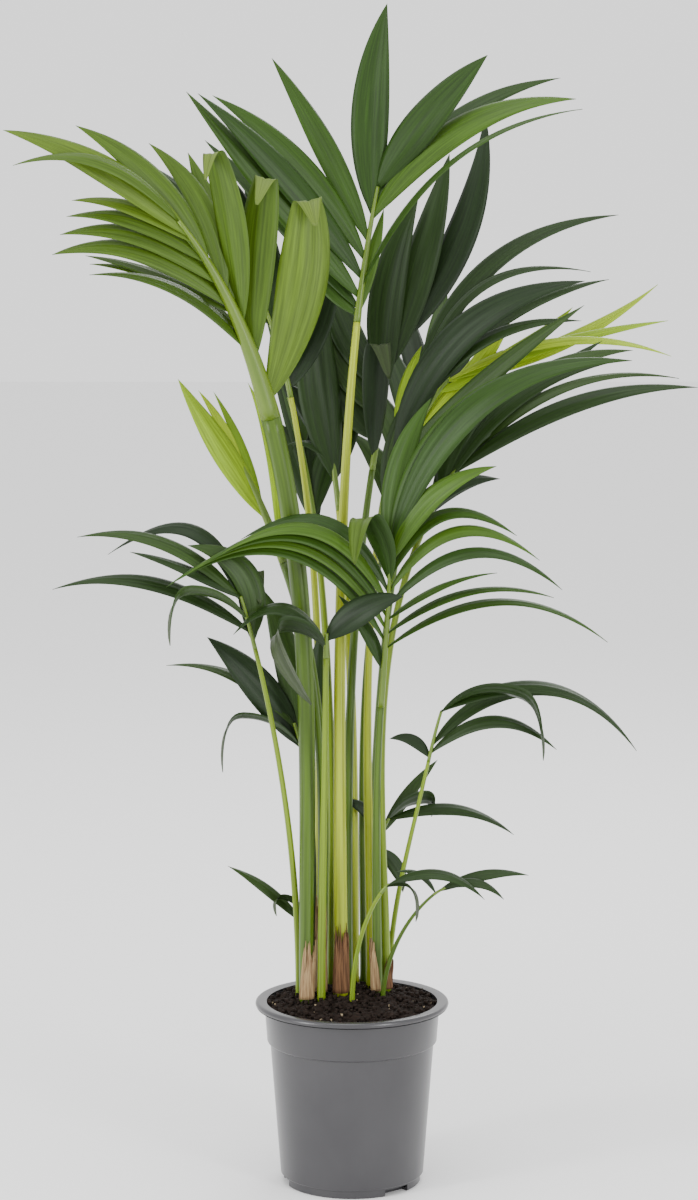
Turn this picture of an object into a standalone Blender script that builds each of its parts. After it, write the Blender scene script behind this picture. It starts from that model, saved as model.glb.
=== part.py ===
"""A kentia palm in a plastic nursery pot: several seedlings whose fronds stand on long bare stems.

Metres, +Z up, the front at -Y. The origin is on the ground, under the middle of the pot.
"""

import math
import random
from collections import namedtuple

import bmesh
import bpy
from mathutils import Vector
from mathutils.bvhtree import BVHTree

UP = Vector((0, 0, 1))
SEED = 11
GAP = 0.0003  # left between pieces that touch
WELD = 0.000001
STEP = 0.001  # share of a curve's length over which its direction is taken

# The pot, turned about Z. Radii are to the outer wall.
POT_SIDES = 40
POT_HEIGHT = 0.182
RIM_RADIUS = 0.095
RIM_HEIGHT = 0.006
COLLAR_TOP_RADIUS = 0.086
COLLAR_RADIUS = 0.0835
COLLAR_HEIGHT = 0.034
SHOULDER = POT_HEIGHT - RIM_HEIGHT - COLLAR_HEIGHT
STEP_HEIGHT = 0.002
BODY_TOP_RADIUS = 0.0805
BODY_FOOT_RADIUS = 0.0705
FOOT_RADIUS = 0.0675
FOOT_HEIGHT = 0.0085
WALL = 0.0025
FLOOR = 0.003
FILLET_HEIGHT = 0.012  # where the inner wall meets the foot's
RIM_EDGE = 0.001  # its bevel
CAP_CORNERS = 3  # of the plain face across the underside
CAP_SHARE = 0.6  # its size, of the foot's
NOTCH_DEPTH = 0.02
NOTCHES = 3
NOTCH_WIDTH = 0.029
NOTCH_HEIGHT = 0.0065
NOTCH_ANGLE = -49.0  # of the first notch, in degrees from +X

# The soil fills the pot and is heaped a little above its rim.
SOIL_SIDES = 20
SOIL_RINGS = 6
SOIL_EDGE = 0.177
SOIL_HEAP = 0.012
SOIL_BUMP = 0.0018
POCKET_DEPTH = 0.005  # how far the stems stand in the soil
POCKET_CUT = 0.02

STEM_SIDES = 6
STEM_RINGS = 9
FINE_RINGS = 60  # for looking up a height along a stem
RACHIS_SIDES = 5
RACHIS_RINGS = 6

# A leaflet's cross-section is a flat rhombus. These are the places of its rings, as shares of its length.
LEAF_RINGS = (0.0, 0.1, 0.28, 0.5, 0.72, 0.9)
LEAF_THICKNESS = 0.0125  # of its length
LEAF_LEAST = 0.0012  # the thinnest that a leaflet is
LEAF_ROOT = 0.13  # width at the root, of the full width
LEAF_BEND = 0.55  # where along its reach a leaflet's bow is centred
LEAF_CLEAR = 0.0006  # kept free round a leaflet
LEAF_RISE = 0.75  # how slowly a leaflet widens from its root
LEAF_STEP = 0.01
FOLD_RINGS = (0.0, 0.25, 0.6)  # places of the rings past a crease
FOLD_RISE = 0.25  # the fold's height, and how far it stands out, falls and drifts, of the folded length
FOLD_OUT = 0.42
FOLD_FALL = 0.85
FOLD_DRIFT = 0.3
FOLD_STAND = 0.006  # added to the fold's height and to how far it stands out
TIP_SHARE = 1.0  # how early a plain leaflet narrows towards its tip
CREASED_TIP_SHARE = 0.6
TIP_TURN = 0.25  # how much further a leaflet has turned at its tip
SWINGS = (0, 5, -5, 10, -10, 15, -15, 21, -21, 28, -28)

SHEATH_WALL = 0.0009
SHEATH_GAP = 0.0011
SHEATH_SPAN = 165.0  # degrees round the stem, at its foot
SHEATH_JAG = 0.55  # height of the lowest notch in its top edge, of the sheath's
SHEATH_COLUMNS = 7
SHEATH_ROWS = 6

# foot is where the stem leaves the soil, base is where it ends and the rachis begins, and crook is where
# the lines of the rachis's two ends meet. radii are those of the stem's foot and top and the rachis's tip.
Frond = namedtuple("Frond", "foot base crook tip radii tone runs")

# A run of like leaflets. A pair of values runs from the first leaflet to the last. at is the share along
# the rachis, bearing the direction seen from the front in degrees from +X, reach the distance from root to
# tip seen so, bow the height of the arc's control point over the reach, lean the angle towards the front,
# turn the share of a quarter turn from facing the front to facing up, and hang the length that is folded
# over the front and falls to the right, or to the left where it is negative.
Run = namedtuple("Run", "count at bearing reach bow width lean turn hang", defaults=(0.0, 0.15, 0.0))

FRONDS = {
    "crown": Frond(
        (-0.011, -0.010), (0.005, 0.035, 0.845), (0.012, 0.045, 0.910), (0.025, 0.055, 0.975),
        (0.0070, 0.0034, 0.0017), "mid", (
            Run(1, 0.80, 86, 0.203, 0.09, 0.037, -8),
            Run(1, 1.00, 50, 0.164, 0.09, 0.038, 6),
            Run(2, (0.90, 0.77), (33, 30), (0.217, 0.227), (0.22, 0.29), (0.020, 0.032), (-12, 4), 0.3),
            Run(1, 0.26, 39, 0.269, 0.30, 0.022, 14, 0.6),
            Run(1, 0.60, 118, 0.199, 0.06, 0.025, -4),
            Run(3, (0.46, 0.18), (133, 130), (0.215, 0.257), (0.16, 0.02), (0.026, 0.029), (6, 10)),
            Run(2, (0.10, 0.05), (133, 118), (0.222, 0.121), (0.04, -0.21), 0.022, (-16, -22)),
            Run(1, 0.06, 76, 0.104, 0.0, 0.014, -14),
        )),
    "fan": Frond(
        (-0.005, 0.020), (0.020, 0.100, 0.695), (0.032, 0.122, 0.770), (0.042, 0.140, 0.820),
        (0.0055, 0.0030, 0.0016), "deep", (
            Run(3, (0.55, 0.95), (80, 68), (0.195, 0.250), (0.15, -0.17), (0.036, 0.034), (-12, -14)),
            Run(3, (0.55, 0.20), (112, 118), (0.163, 0.133), -0.15, 0.033, (-10, -18)),
            Run(1, 0.08, 88, 0.110, 0.0, 0.030, 10, 0.1, 0.035),
        )),
    "shade": Frond(
        (0.001, 0.055), (-0.013, 0.098, 0.655), (-0.022, 0.118, 0.735), (-0.035, 0.135, 0.785),
        (0.0060, 0.0030, 0.0016), "deep", (
            Run(1, 0.20, 95, 0.216, -0.07, 0.044, -8),
            Run(2, (0.40, 0.70), (125, 115), (0.080, 0.115), 0.10, 0.024, (-20, -14)),
            Run(2, (0.90, 0.20), 78, 0.120, -0.05, 0.022, (-24, -30)),
            Run(1, 0.30, 157, 0.050, 0.40, 0.014, 4, 0.5),
        )),
    "behind": Frond(
        (-0.034, 0.024), (-0.060, 0.065, 0.770), (-0.075, 0.070, 0.845), (-0.105, 0.070, 0.900),
        (0.0045, 0.0026, 0.0015), "deep", (
            Run(2, (0.73, 0.92), (135, 128), (0.195, 0.110), 0.21, 0.019, (-4, -14), 0.4),
            Run(2, (0.73, 0.43), (109, 102), (0.136, 0.148), (0.17, 0.10), (0.024, 0.029), (-10, -16)),
            Run(2, (0.20, 0.06), (79, 69), (0.163, 0.131), -0.10, (0.029, 0.023), (-12, -24)),
            Run(2, (0.50, 0.84), (155, 160), (0.144, 0.155), (0.22, 0.30), 0.020, (-6, -12), 0.5),
        )),
    "arch": Frond(
        (-0.045, -0.020), (-0.077, -0.056, 0.760), (-0.105, -0.085, 0.875), (-0.160, -0.110, 0.945),
        (0.0065, 0.0092, 0.0018), "light", (
            Run(1, 0.06, 78, 0.190, -0.12, 0.050, 6, 0.1, 0.025),
            Run(2, (0.24, 0.40), (86, 98), (0.168, 0.160), 0.05, (0.036, 0.034), (8, 12), 0.1, -0.026),
            Run(1, 0.50, 106, 0.150, 0.08, 0.024, 4),
            Run(3, (0.57, 0.90), (117, 150), (0.157, 0.194), (0.23, 0.16), (0.024, 0.027), (2, 12)),
            Run(1, 1.0, 161, 0.155, 0.37, 0.017, 20, 0.4),
            Run(4, (0.86, 0.50), (161, 163), (0.120, 0.172), (0.21, 0.32), (0.017, 0.027), (2, 12), 0.3),
            Run(3, (0.47, 0.28), (159, 153), (0.150, 0.165), (0.12, 0.30), (0.018, 0.022), (-4, 8), 0.5),
        )),
    "spear": Frond(
        (-0.030, -0.003), (-0.066, 0.001, 0.615), (-0.090, 0.004, 0.680), (-0.110, 0.008, 0.715),
        (0.0050, 0.0046, 0.0018), "lime", (
            Run(1, 0.35, 122, 0.160, 0.0, 0.025, 2),
            Run(2, (0.45, 0.88), (113, 120), (0.121, 0.086), 0.07, 0.010, (-8, -2)),
            Run(1, 0.10, 100, 0.165, 0.14, 0.015, 8),
        )),
    "left": Frond(
        (-0.052, 0.004), (-0.092, -0.067, 0.540), (-0.100, -0.076, 0.575), (-0.105, -0.080, 0.592),
        (0.0034, 0.0021, 0.0014), "deep", (
            Run(1, 0.10, 92, 0.062, 0.0, 0.029, -14, 0.1, 0.030),
            Run(1, 0.45, 152, 0.062, 0.25, 0.025, 14, 0.2, -0.055),
            Run(2, (0.25, 0.60), (168, 158), (0.193, 0.142), (0.28, 0.75), 0.019, (8, -8), 0.45),
            Run(2, (0.88, 0.95), (159, 157), (0.167, 0.114), (0.30, 0.10), (0.018, 0.014), (-2, 2), 0.45),
            Run(1, 0.15, 124, 0.109, 0.54, 0.028, -16),
        )),
    "heart": Frond(
        (-0.030, -0.022), (-0.025, -0.068, 0.532), (-0.025, -0.072, 0.545), (-0.024, -0.075, 0.556),
        (0.0040, 0.0026, 0.0017), "deep", (
            Run(1, 0.60, 174, 0.088, 0.69, 0.023, 8, 0.6),
            Run(1, 0.33, 148, 0.043, 0.25, 0.040, 15, 0.2, 0.080),
            Run(1, 0.72, 31, 0.085, 0.21, 0.028, 12),
        )),
    "spray": Frond(
        (0.025, 0.000), (0.028, -0.028, 0.478), (0.034, -0.046, 0.560), (0.037, -0.055, 0.636),
        (0.0050, 0.0029, 0.0016), "mid", (
            Run(1, 1.0, 39, 0.287, 0.40, 0.031, 12, 0.25),
            Run(2, (0.97, 1.0), (75, 58), (0.151, 0.193), (0.17, 0.20), 0.026, (-6, 2)),
            Run(1, 0.90, 44, 0.138, 0.29, 0.022, 16),
            Run(3, (0.80, 0.62), (19, 8), (0.128, 0.165), (0.66, 0.54), (0.016, 0.014), (4, 18), 0.35),
            Run(3, (0.54, 0.36), (26, 3), (0.115, 0.211), (0.17, 0.41), 0.015, (20, 10), 0.6),
            Run(1, 0.78, 108, 0.062, 0.1, 0.036, 14, 0.1, -0.045),
            Run(5, (0.71, 0.40), (160, 164), (0.150, 0.216), 0.58, 0.017, (-4, 14), 0.35),
            Run(1, 0.22, 121, 0.085, 0.15, 0.014, -4),
        )),
    "reach": Frond(
        (0.019, 0.020), (0.028, 0.042, 0.655), (0.042, 0.047, 0.755), (0.090, 0.040, 0.805),
        (0.0050, 0.0029, 0.0016), "deep", (
            Run(2, (0.58, 0.46), (43, 33), (0.283, 0.205), (0.37, 0.34), (0.022, 0.018), (-10, 14), 0.3),
            Run(1, 0.34, 43, 0.248, 0.35, 0.034, 8),
            Run(2, (0.70, 0.84), (36, 29), (0.208, 0.201), (0.50, 0.18), (0.014, 0.018), (-2, -6), 0.45),
            Run(1, 0.22, 42, 0.250, 0.07, 0.020, 14),
            Run(2, (0.10, 0.18), (67, 62), (0.145, 0.165), 0.12, (0.028, 0.024), (-4, 2)),
        )),
    "glow": Frond(
        (0.012, 0.062), (0.038, 0.097, 0.655), (0.060, 0.105, 0.745), (0.096, 0.105, 0.785),
        (0.0040, 0.0025, 0.0015), "lime", (
            Run(3, (0.18, 0.85), (71, 33), (0.162, 0.157), -0.09, (0.022, 0.018), (-8, 2)),
            Run(3, 0.98, (25, 8), (0.228, 0.215), (-0.11, 0.25), (0.018, 0.012), (4, 10), 0.35),
            Run(1, 0.30, 81, 0.113, 0.16, 0.018, -24),
        )),
    "sweep": Frond(
        (0.034, 0.012), (0.066, -0.028, 0.645), (0.090, -0.036, 0.705), (0.125, -0.040, 0.740),
        (0.0045, 0.0028, 0.0015), "deep", (
            Run(1, 0.56, 20, 0.245, 0.20, 0.019, 6, 0.25),
            Run(1, 0.52, 23, 0.238, 0.31, 0.014, -4, 0.45),
            Run(1, 0.44, 37, 0.201, 0.27, 0.016, 12, 0.25),
            Run(2, (0.72, 0.85), (32, 38), (0.192, 0.161), (0.29, 0.09), (0.021, 0.016), (-8, -14), 0.25),
            Run(2, (0.34, 0.20), (57, 71), (0.139, 0.112), (0.26, 0.02), (0.025, 0.017), (4, -12)),
        )),
    "low_right": Frond(
        (0.036, 0.026), (0.074, -0.028, 0.425), (0.081, -0.037, 0.460), (0.086, -0.040, 0.476),
        (0.0028, 0.0017, 0.0013), "deep", (
            Run(1, 1.0, -11, 0.190, 0.46, 0.020, 6, 0.55),
            Run(1, 0.94, 15, 0.078, 0.30, 0.033, 14, 0.3, 0.066),
            Run(2, (0.25, 0.12), (20, 5), (0.130, 0.120), (0.35, 0.50), 0.016, (-6, 20), 0.4),
            Run(1, 0.05, 157, 0.042, 0.42, 0.012, -14),
        )),
    "low_back": Frond(
        (0.035, 0.045), (0.024, 0.052, 0.312), (0.027, 0.050, 0.338), (0.037, 0.045, 0.354),
        (0.0030, 0.0019, 0.0014), "deep", (
            Run(1, 0.95, -5, 0.124, 0.31, 0.016, 10, 0.5),
            Run(1, 0.85, 30, 0.045, 0.25, 0.025, 4, 0.1, 0.018),
            Run(1, 0.55, 50, 0.088, 0.07, 0.013, -4),
            Run(1, 0.20, -60, 0.050, 0.30, 0.016, 6),
            Run(1, 0.45, 136, 0.056, 0.36, 0.013, -20),
        )),
    "foot_right": Frond(
        (0.030, -0.014), (0.079, -0.049, 0.298), (0.083, -0.052, 0.302), (0.090, -0.055, 0.306),
        (0.0024, 0.0014, 0.0011), "deep", (
            Run(2, (0.5, 0.95), (11, -8), (0.088, 0.057), (0.19, 0.39), (0.012, 0.010), (4, 16), 0.35),
            Run(1, 0.2, 150, 0.045, 0.40, 0.009, 10, 0.5),
        )),
    "foot_front": Frond(
        (0.000, -0.032), (0.028, -0.059, 0.302), (0.031, -0.061, 0.307), (0.036, -0.061, 0.311),
        (0.0026, 0.0017, 0.0012), "deep", (
            Run(1, 0.6, 10, 0.018, 0.10, 0.018, 20, 0.2, 0.036),
            Run(1, 0.95, -7, 0.092, 0.39, 0.013, 6, 0.45),
        )),
    "foot_left": Frond(
        (-0.046, 0.030), (-0.050, 0.021, 0.252), (-0.050, 0.020, 0.260), (-0.050, 0.020, 0.268),
        (0.0024, 0.0016, 0.0012), "deep", (
            Run(1, 0.2, 142, 0.092, 0.12, 0.013, 2, 0.4),
            Run(1, 0.85, 140, 0.024, 0.25, 0.014, 14, 0.3, -0.018),
        )),
    "low_left": Frond(
        (-0.040, 0.012), (-0.048, 0.003, 0.425), (-0.052, -0.001, 0.445), (-0.056, -0.005, 0.458),
        (0.0036, 0.0024, 0.0015), "deep", (
            Run(1, 0.25, 130, 0.141, 0.12, 0.034, 2),
            Run(1, 0.80, 156, 0.140, 0.30, 0.017, -8, 0.6),
            Run(1, 0.20, 150, 0.066, 0.25, 0.019, 14, 0.3, -0.058),
            Run(2, (0.35, 0.30), (104, 80), (0.151, 0.105), (0.11, -0.08), 0.029, (-12, -18)),
        )),
    "back_left": Frond(
        (-0.020, 0.037), (-0.035, 0.130, 0.620), (-0.045, 0.165, 0.700), (-0.065, 0.205, 0.760),
        (0.0050, 0.0029, 0.0016), "deep", (
            Run(4, (0.10, 0.85), (112, 104), (0.110, 0.150), 0.15, 0.027, (-30, -42), 0.3),
            Run(4, (0.15, 0.90), (60, 78), (0.110, 0.145), (0.30, 0.10), 0.027, (-32, -44), 0.3),
            Run(1, 1.0, 96, 0.130, 0.05, 0.027, -38),
        )),
    "back_right": Frond(
        (0.020, 0.068), (0.045, 0.165, 0.600), (0.060, 0.200, 0.685), (0.085, 0.240, 0.735),
        (0.0050, 0.0029, 0.0016), "deep", (
            Run(4, (0.10, 0.85), (30, 62), (0.120, 0.160), (0.35, 0.10), 0.027, (-14, -36), 0.3),
            Run(4, (0.15, 0.90), (118, 104), (0.110, 0.150), (0.25, 0.05), 0.027, (-30, -42), 0.3),
            Run(1, 1.0, 84, 0.135, 0.05, 0.028, -38),
        )),
}

# The old leaf sheaths that still wrap some stems: height, the direction they face in degrees, and colour.
SHEATHS = {
    "arch": (0.060, -60, "straw"),
    "spear": (0.098, -110, "straw"),
    "crown": (0.072, -80, "husk"),
    "fan": (0.090, 170, "husk"),
    "spray": (0.055, -140, "straw"),
    "sweep": (0.034, -50, "husk"),
}

COLOURS = {
    "deep": ((0.030, 0.062, 0.022), 0.42),
    "mid": ((0.070, 0.140, 0.030), 0.40),
    "light": ((0.110, 0.200, 0.045), 0.40),
    "lime": ((0.280, 0.430, 0.060), 0.42),
    "stem": ((0.240, 0.360, 0.070), 0.35),
    "straw": ((0.420, 0.330, 0.200), 0.75),
    "husk": ((0.180, 0.095, 0.050), 0.80),
    "soil": ((0.018, 0.011, 0.008), 0.95),
    "pot": ((0.105, 0.103, 0.102), 0.38),
}


def clear_scene():
    for thing in list(bpy.data.objects):
        bpy.data.objects.remove(thing, do_unlink=True)


def material(name):
    """The named plain finish, made once."""
    made = bpy.data.materials.get(name)
    if made:
        return made
    made = bpy.data.materials.new(name)
    made.use_nodes = True
    shader = made.node_tree.nodes["Principled BSDF"]
    colour, roughness = COLOURS[name]
    shader.inputs["Base Color"].default_value = (*colour, 1.0)
    shader.inputs["Roughness"].default_value = roughness
    shader.inputs["Metallic"].default_value = 0.0
    return made


def add_object(name, shape, finish):
    """Puts a bmesh, or a list of points and a list of faces, in the scene as one object."""
    mesh = bpy.data.meshes.new(name)
    if isinstance(shape, bmesh.types.BMesh):
        bmesh.ops.recalc_face_normals(shape, faces=shape.faces)
        shape.to_mesh(mesh)
        shape.free()
    else:
        points, faces = shape
        mesh.from_pydata(points, [], faces)
    mesh.materials.append(material(finish))
    made = bpy.data.objects.new(name, mesh)
    bpy.context.scene.collection.objects.link(made)
    return made


def apply_boolean(target, operation, tools):
    """Joins a list of objects to the target, or cuts them from it, and removes them."""
    group = bpy.data.collections.new(target.name + "_tools")
    bpy.context.scene.collection.children.link(group)
    for tool in tools:
        bpy.context.scene.collection.objects.unlink(tool)
        group.objects.link(tool)
        tool.hide_render = True
        tool.display_type = "WIRE"
    change = target.modifiers.new(operation.title(), "BOOLEAN")
    change.operation = operation
    change.operand_type = "COLLECTION"
    change.collection = group
    for solver in ("EXACT", "MANIFOLD"):
        change.solver = solver
        bpy.context.view_layer.update()
        seen = target.evaluated_get(bpy.context.evaluated_depsgraph_get())
        result = bpy.data.meshes.new_from_object(seen)
        if weld(result):
            break
    target.modifiers.clear()
    target.data = result
    for tool in tools:
        bpy.data.objects.remove(tool, do_unlink=True)
    bpy.data.collections.remove(group)


def weld(mesh):
    """Merges points that lie on each other, drops loose scraps, and says whether the mesh is closed."""
    solid = bmesh.new()
    solid.from_mesh(mesh)
    bmesh.ops.remove_doubles(solid, verts=solid.verts, dist=WELD)
    pieces = []
    left = set(solid.verts)
    while left:
        piece = reach_from(left.pop())
        left -= piece
        pieces.append(piece)
    pieces.sort(key=len)
    for piece in pieces[:-1]:
        bmesh.ops.delete(solid, geom=list(piece), context="VERTS")
    closed = all(len(edge.link_faces) == 2 for edge in solid.edges)
    solid.to_mesh(mesh)
    solid.free()
    return closed


def reach_from(start):
    """Every point that edges join to this one."""
    reached = {start}
    waiting = [start]
    while waiting:
        for edge in waiting.pop().link_edges:
            for vert in edge.verts:
                if vert not in reached:
                    reached.add(vert)
                    waiting.append(vert)
    return reached


def between(value, share):
    """A plain value as it is, or the one at that share of the way from the pair's first to its last."""
    if isinstance(value, tuple):
        return value[0] + (value[1] - value[0]) * share
    return value


def bezier(start, control, end, share):
    return start * (1 - share) ** 2 + control * (2 * share * (1 - share)) + end * share**2


def tube(points, headings, radii, sides):
    """Points and faces of a closed tube through the points, each ring square to its heading."""
    verts, faces = [], []
    across = Vector((1, 0, 0))
    for point, along, radius in zip(points, headings, radii):
        across = (across - along * across.dot(along)).normalized()
        other = along.cross(across)
        for side in range(sides):
            angle = math.tau * side / sides
            verts.append(point + (across * math.cos(angle) + other * math.sin(angle)) * radius)
    for ring in range(len(points) - 1):
        for side in range(sides):
            here, there = ring * sides + side, ring * sides + (side + 1) % sides
            faces.append((here, there, there + sides, here + sides))
    faces.append(tuple(reversed(range(sides))))
    faces.append(tuple(range(len(verts) - sides, len(verts))))
    return verts, faces


def lathe(profile, sides):
    """A closed solid of revolution. The profile starts and ends on the axis."""
    solid = bmesh.new()
    rings = []
    for radius, height in profile:
        if radius == 0:
            rings.append([solid.verts.new((0, 0, height))] * sides)
            continue
        ring = []
        for side in range(sides):
            angle = math.tau * side / sides
            ring.append(solid.verts.new((radius * math.cos(angle), radius * math.sin(angle), height)))
        rings.append(ring)
    for lower, upper in zip(rings, rings[1:]):
        for side in range(sides):
            nearby = (side + 1) % sides
            corners = dict.fromkeys((lower[side], lower[nearby], upper[nearby], upper[side]))
            solid.faces.new(tuple(corners))
    return solid


def inner_radius(height):
    """The pot's inner wall at a height above its foot."""
    if height <= SHOULDER:
        share = (height - FOOT_HEIGHT) / (SHOULDER - FOOT_HEIGHT)
        return BODY_FOOT_RADIUS + (BODY_TOP_RADIUS - BODY_FOOT_RADIUS) * share - WALL
    share = (height - SHOULDER) / COLLAR_HEIGHT
    return COLLAR_RADIUS + (COLLAR_TOP_RADIUS - COLLAR_RADIUS) * share - WALL


def inner_wall(gap):
    """The pot's inner wall from its floor to its shoulder, or a line that far inside it."""
    foot = FOOT_RADIUS - WALL - gap
    return [
        (0, FLOOR + gap),
        (foot, FLOOR + gap),
        (foot, FOOT_HEIGHT),
        (inner_radius(FILLET_HEIGHT) - gap, FILLET_HEIGHT),
        (inner_radius(SHOULDER) - gap, SHOULDER - STEP_HEIGHT / 2 + gap),
        (inner_radius(SHOULDER + STEP_HEIGHT) - gap, SHOULDER + STEP_HEIGHT / 2 + gap),
    ]


def pot_profile():
    outside = [
        (0, 0),
        (FOOT_RADIUS, 0),
        (FOOT_RADIUS, FOOT_HEIGHT),
        (BODY_FOOT_RADIUS, FOOT_HEIGHT + RIM_EDGE),
        (BODY_TOP_RADIUS, SHOULDER - STEP_HEIGHT),
        (COLLAR_RADIUS, SHOULDER),
        (COLLAR_TOP_RADIUS, POT_HEIGHT - RIM_HEIGHT),
        (RIM_RADIUS, POT_HEIGHT - RIM_HEIGHT),
        (RIM_RADIUS, POT_HEIGHT - RIM_EDGE),
        (RIM_RADIUS - RIM_EDGE, POT_HEIGHT),
        (inner_radius(POT_HEIGHT), POT_HEIGHT),
    ]
    return outside + inner_wall(0)[::-1]


def cap_underside(solid):
    """Puts one plain face across the middle of the underside, in place of the point on the axis."""
    middle = min(solid.verts, key=lambda vert: vert.co.length)
    ring = [edge.other_vert(middle) for edge in middle.link_edges]
    ring.sort(key=lambda vert: math.atan2(vert.co.y, vert.co.x))
    bmesh.ops.delete(solid, geom=[middle], context="VERTS")
    starts = [len(ring) * corner // CAP_CORNERS for corner in range(CAP_CORNERS)]
    corners = [solid.verts.new(ring[start].co * CAP_SHARE) for start in starts]
    solid.faces.new(corners)
    for corner, first in enumerate(starts):
        last = (starts + [len(ring)])[corner + 1]
        arc = (ring + ring[:1])[first:last + 1]
        solid.faces.new([corners[corner]] + arc + [corners[(corner + 1) % CAP_CORNERS]])


def make_pot():
    solid = lathe(pot_profile(), POT_SIDES)
    cap_underside(solid)
    pot = add_object("pot", solid, "pot")
    cutters = []
    for index in range(NOTCHES):
        angle = math.radians(NOTCH_ANGLE) + math.tau * index / NOTCHES
        block = bmesh.new()
        bmesh.ops.create_cube(block, size=1)
        bmesh.ops.scale(block, verts=block.verts, vec=(NOTCH_DEPTH, NOTCH_WIDTH, 2 * NOTCH_HEIGHT))
        cutter = add_object(f"notch_{index}", block, "pot")
        cutter.location = (FOOT_RADIUS * math.cos(angle), FOOT_RADIUS * math.sin(angle), 0)
        cutter.rotation_euler.z = angle
        cutters.append(cutter)
    apply_boolean(pot, "DIFFERENCE", cutters)
    pot.data.shade_smooth()
    pot.data.set_sharp_from_angle(angle=math.radians(30))


def soil_height(radius):
    """The heap without its bumps."""
    share = min(radius / inner_radius(SOIL_EDGE), 1.0)
    return SOIL_EDGE + SOIL_HEAP * (1 - share**2)


def make_soil():
    edge = inner_radius(SOIL_EDGE) - GAP
    chance = random.Random(SEED)
    top = [(edge * ring / SOIL_RINGS, SOIL_EDGE) for ring in range(SOIL_RINGS, -1, -1)]
    solid = lathe(inner_wall(GAP) + top, SOIL_SIDES)
    for vert in solid.verts:
        if vert.co.z >= SOIL_EDGE - WELD:
            bump = chance.uniform(-SOIL_BUMP, SOIL_BUMP)
            vert.co.z = soil_height(math.hypot(vert.co.x, vert.co.y)) + bump
    soil = add_object("soil", solid, "soil")
    pockets = []
    for name, frond in FRONDS.items():
        foot = stem_foot(frond)
        line = [foot - UP * GAP, foot + UP * POCKET_CUT]
        radius = (frond.radii[0] + GAP) / math.cos(math.pi / STEM_SIDES)
        shape = tube(line, [UP] * 2, [radius] * 2, STEM_SIDES)
        pockets.append(add_object("pocket_" + name, shape, "soil"))
    apply_boolean(soil, "DIFFERENCE", pockets)


def stem_foot(frond):
    x, y = frond.foot
    return Vector((x, y, soil_height(math.hypot(x, y)) - SOIL_BUMP - POCKET_DEPTH))


def stem_point(frond, share):
    """A stem rises straight from its foot and ends in line with the rachis."""
    foot, base = stem_foot(frond), Vector(frond.base)
    height = (base - foot).length
    start = foot + UP * height / 3
    end = base - (Vector(frond.crook) - base).normalized() * height / 3
    first = bezier(foot, start, end, share)
    return first * (1 - share) + bezier(start, end, base, share) * share


def heading(place, frond, share):
    """The direction of a frond's stem or rachis, whose points place gives, at a share of its length."""
    after, before = min(share + STEP, 1), max(share - STEP, 0)
    return (place(frond, after) - place(frond, before)).normalized()


def stem_line(frond, rings):
    """The stem's points, headings and radii, from its foot to just short of the rachis."""
    shares = [ring / (rings - 1) for ring in range(rings)]
    points = [stem_point(frond, share) for share in shares]
    headings = [heading(stem_point, frond, share) for share in shares]
    headings[-1] = heading(rachis_point, frond, 0)
    points[-1] = points[-1] - headings[-1] * GAP
    return points, headings, [between(frond.radii[:2], share) for share in shares]


def rachis_point(frond, share):
    return bezier(Vector(frond.base), Vector(frond.crook), Vector(frond.tip), share)


def rachis_line(frond, rings):
    shares = [ring / (rings - 1) for ring in range(rings)]
    points = [rachis_point(frond, share) for share in shares]
    headings = [heading(rachis_point, frond, share) for share in shares]
    return points, headings, [between(frond.radii[1:], share) for share in shares]


def leaf_bow(root, leaf):
    """The end of a leaflet's bow, and the control point of the bow."""
    bearing = math.radians(leaf.bearing)
    side = 1 if math.cos(bearing) >= 0 else -1
    toward = Vector((math.cos(bearing), -math.tan(math.radians(leaf.lean)), math.sin(bearing)))
    upward = Vector((-math.sin(bearing), 0, math.cos(bearing))) * side
    return root + toward * leaf.reach, root + (toward * LEAF_BEND + upward * leaf.bow) * leaf.reach


def leaf_fold(root, leaf):
    """From a creased leaflet's crease, the way to the top of its fold and the way to its tip."""
    end, control = leaf_bow(root, leaf)
    drop = abs(leaf.hang)
    falling = Vector((leaf.hang * FOLD_DRIFT, -drop * FOLD_OUT - FOLD_STAND, -drop * FOLD_FALL))
    return (end - control).normalized() * (drop * FOLD_RISE + FOLD_STAND), falling


def leaf_place(root, leaf, share):
    """The point at that share of a leaflet's length. Its line is a bow, and the end past a crease hangs."""
    end, control = leaf_bow(root, leaf)
    crease = crease_share(leaf)
    if share <= crease:
        return bezier(root, control, end, share / crease)
    rising, falling = leaf_fold(root, leaf)
    return bezier(end, end + rising, end + falling, (share - crease) / (1 - crease))


def crease_share(leaf):
    """Where along its length a leaflet folds over, or 1 if it doesn't."""
    return leaf.reach / (leaf.reach + abs(leaf.hang))


def leaf_width(leaf, share):
    """A lance shape, blunter where its tip is folded over."""
    fall = CREASED_TIP_SHARE if leaf.hang else TIP_SHARE
    widest = LEAF_RISE / (LEAF_RISE + fall)
    full = widest**LEAF_RISE * (1 - widest) ** fall
    shape = share**LEAF_RISE * (1 - share) ** fall / full
    return leaf.width * max(shape, LEAF_ROOT * (1 - share))


def leaf_heading(root, leaf, share):
    after = leaf_place(root, leaf, min(share + LEAF_STEP, 1))
    return (after - leaf_place(root, leaf, share - LEAF_STEP)).normalized()


def leaf_across(root, leaf, share, along):
    """The direction across the blade. A creased one is flat all along, so that it folds about one line."""
    if leaf.hang:
        rising, falling = leaf_fold(root, leaf)
        fold = falling.cross(rising)
        return fold if fold.cross(rising).y < 0 else -fold
    facing = along.cross(Vector((0, -1, 0))).normalized()
    level = (leaf_place(root, leaf, 0.5) - root).cross(UP)
    level = (level - along * level.dot(along)).normalized()
    turn = math.radians(90) * (leaf.turn + TIP_TURN * share)
    return facing * math.cos(turn) + level * math.sin(turn)


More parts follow.
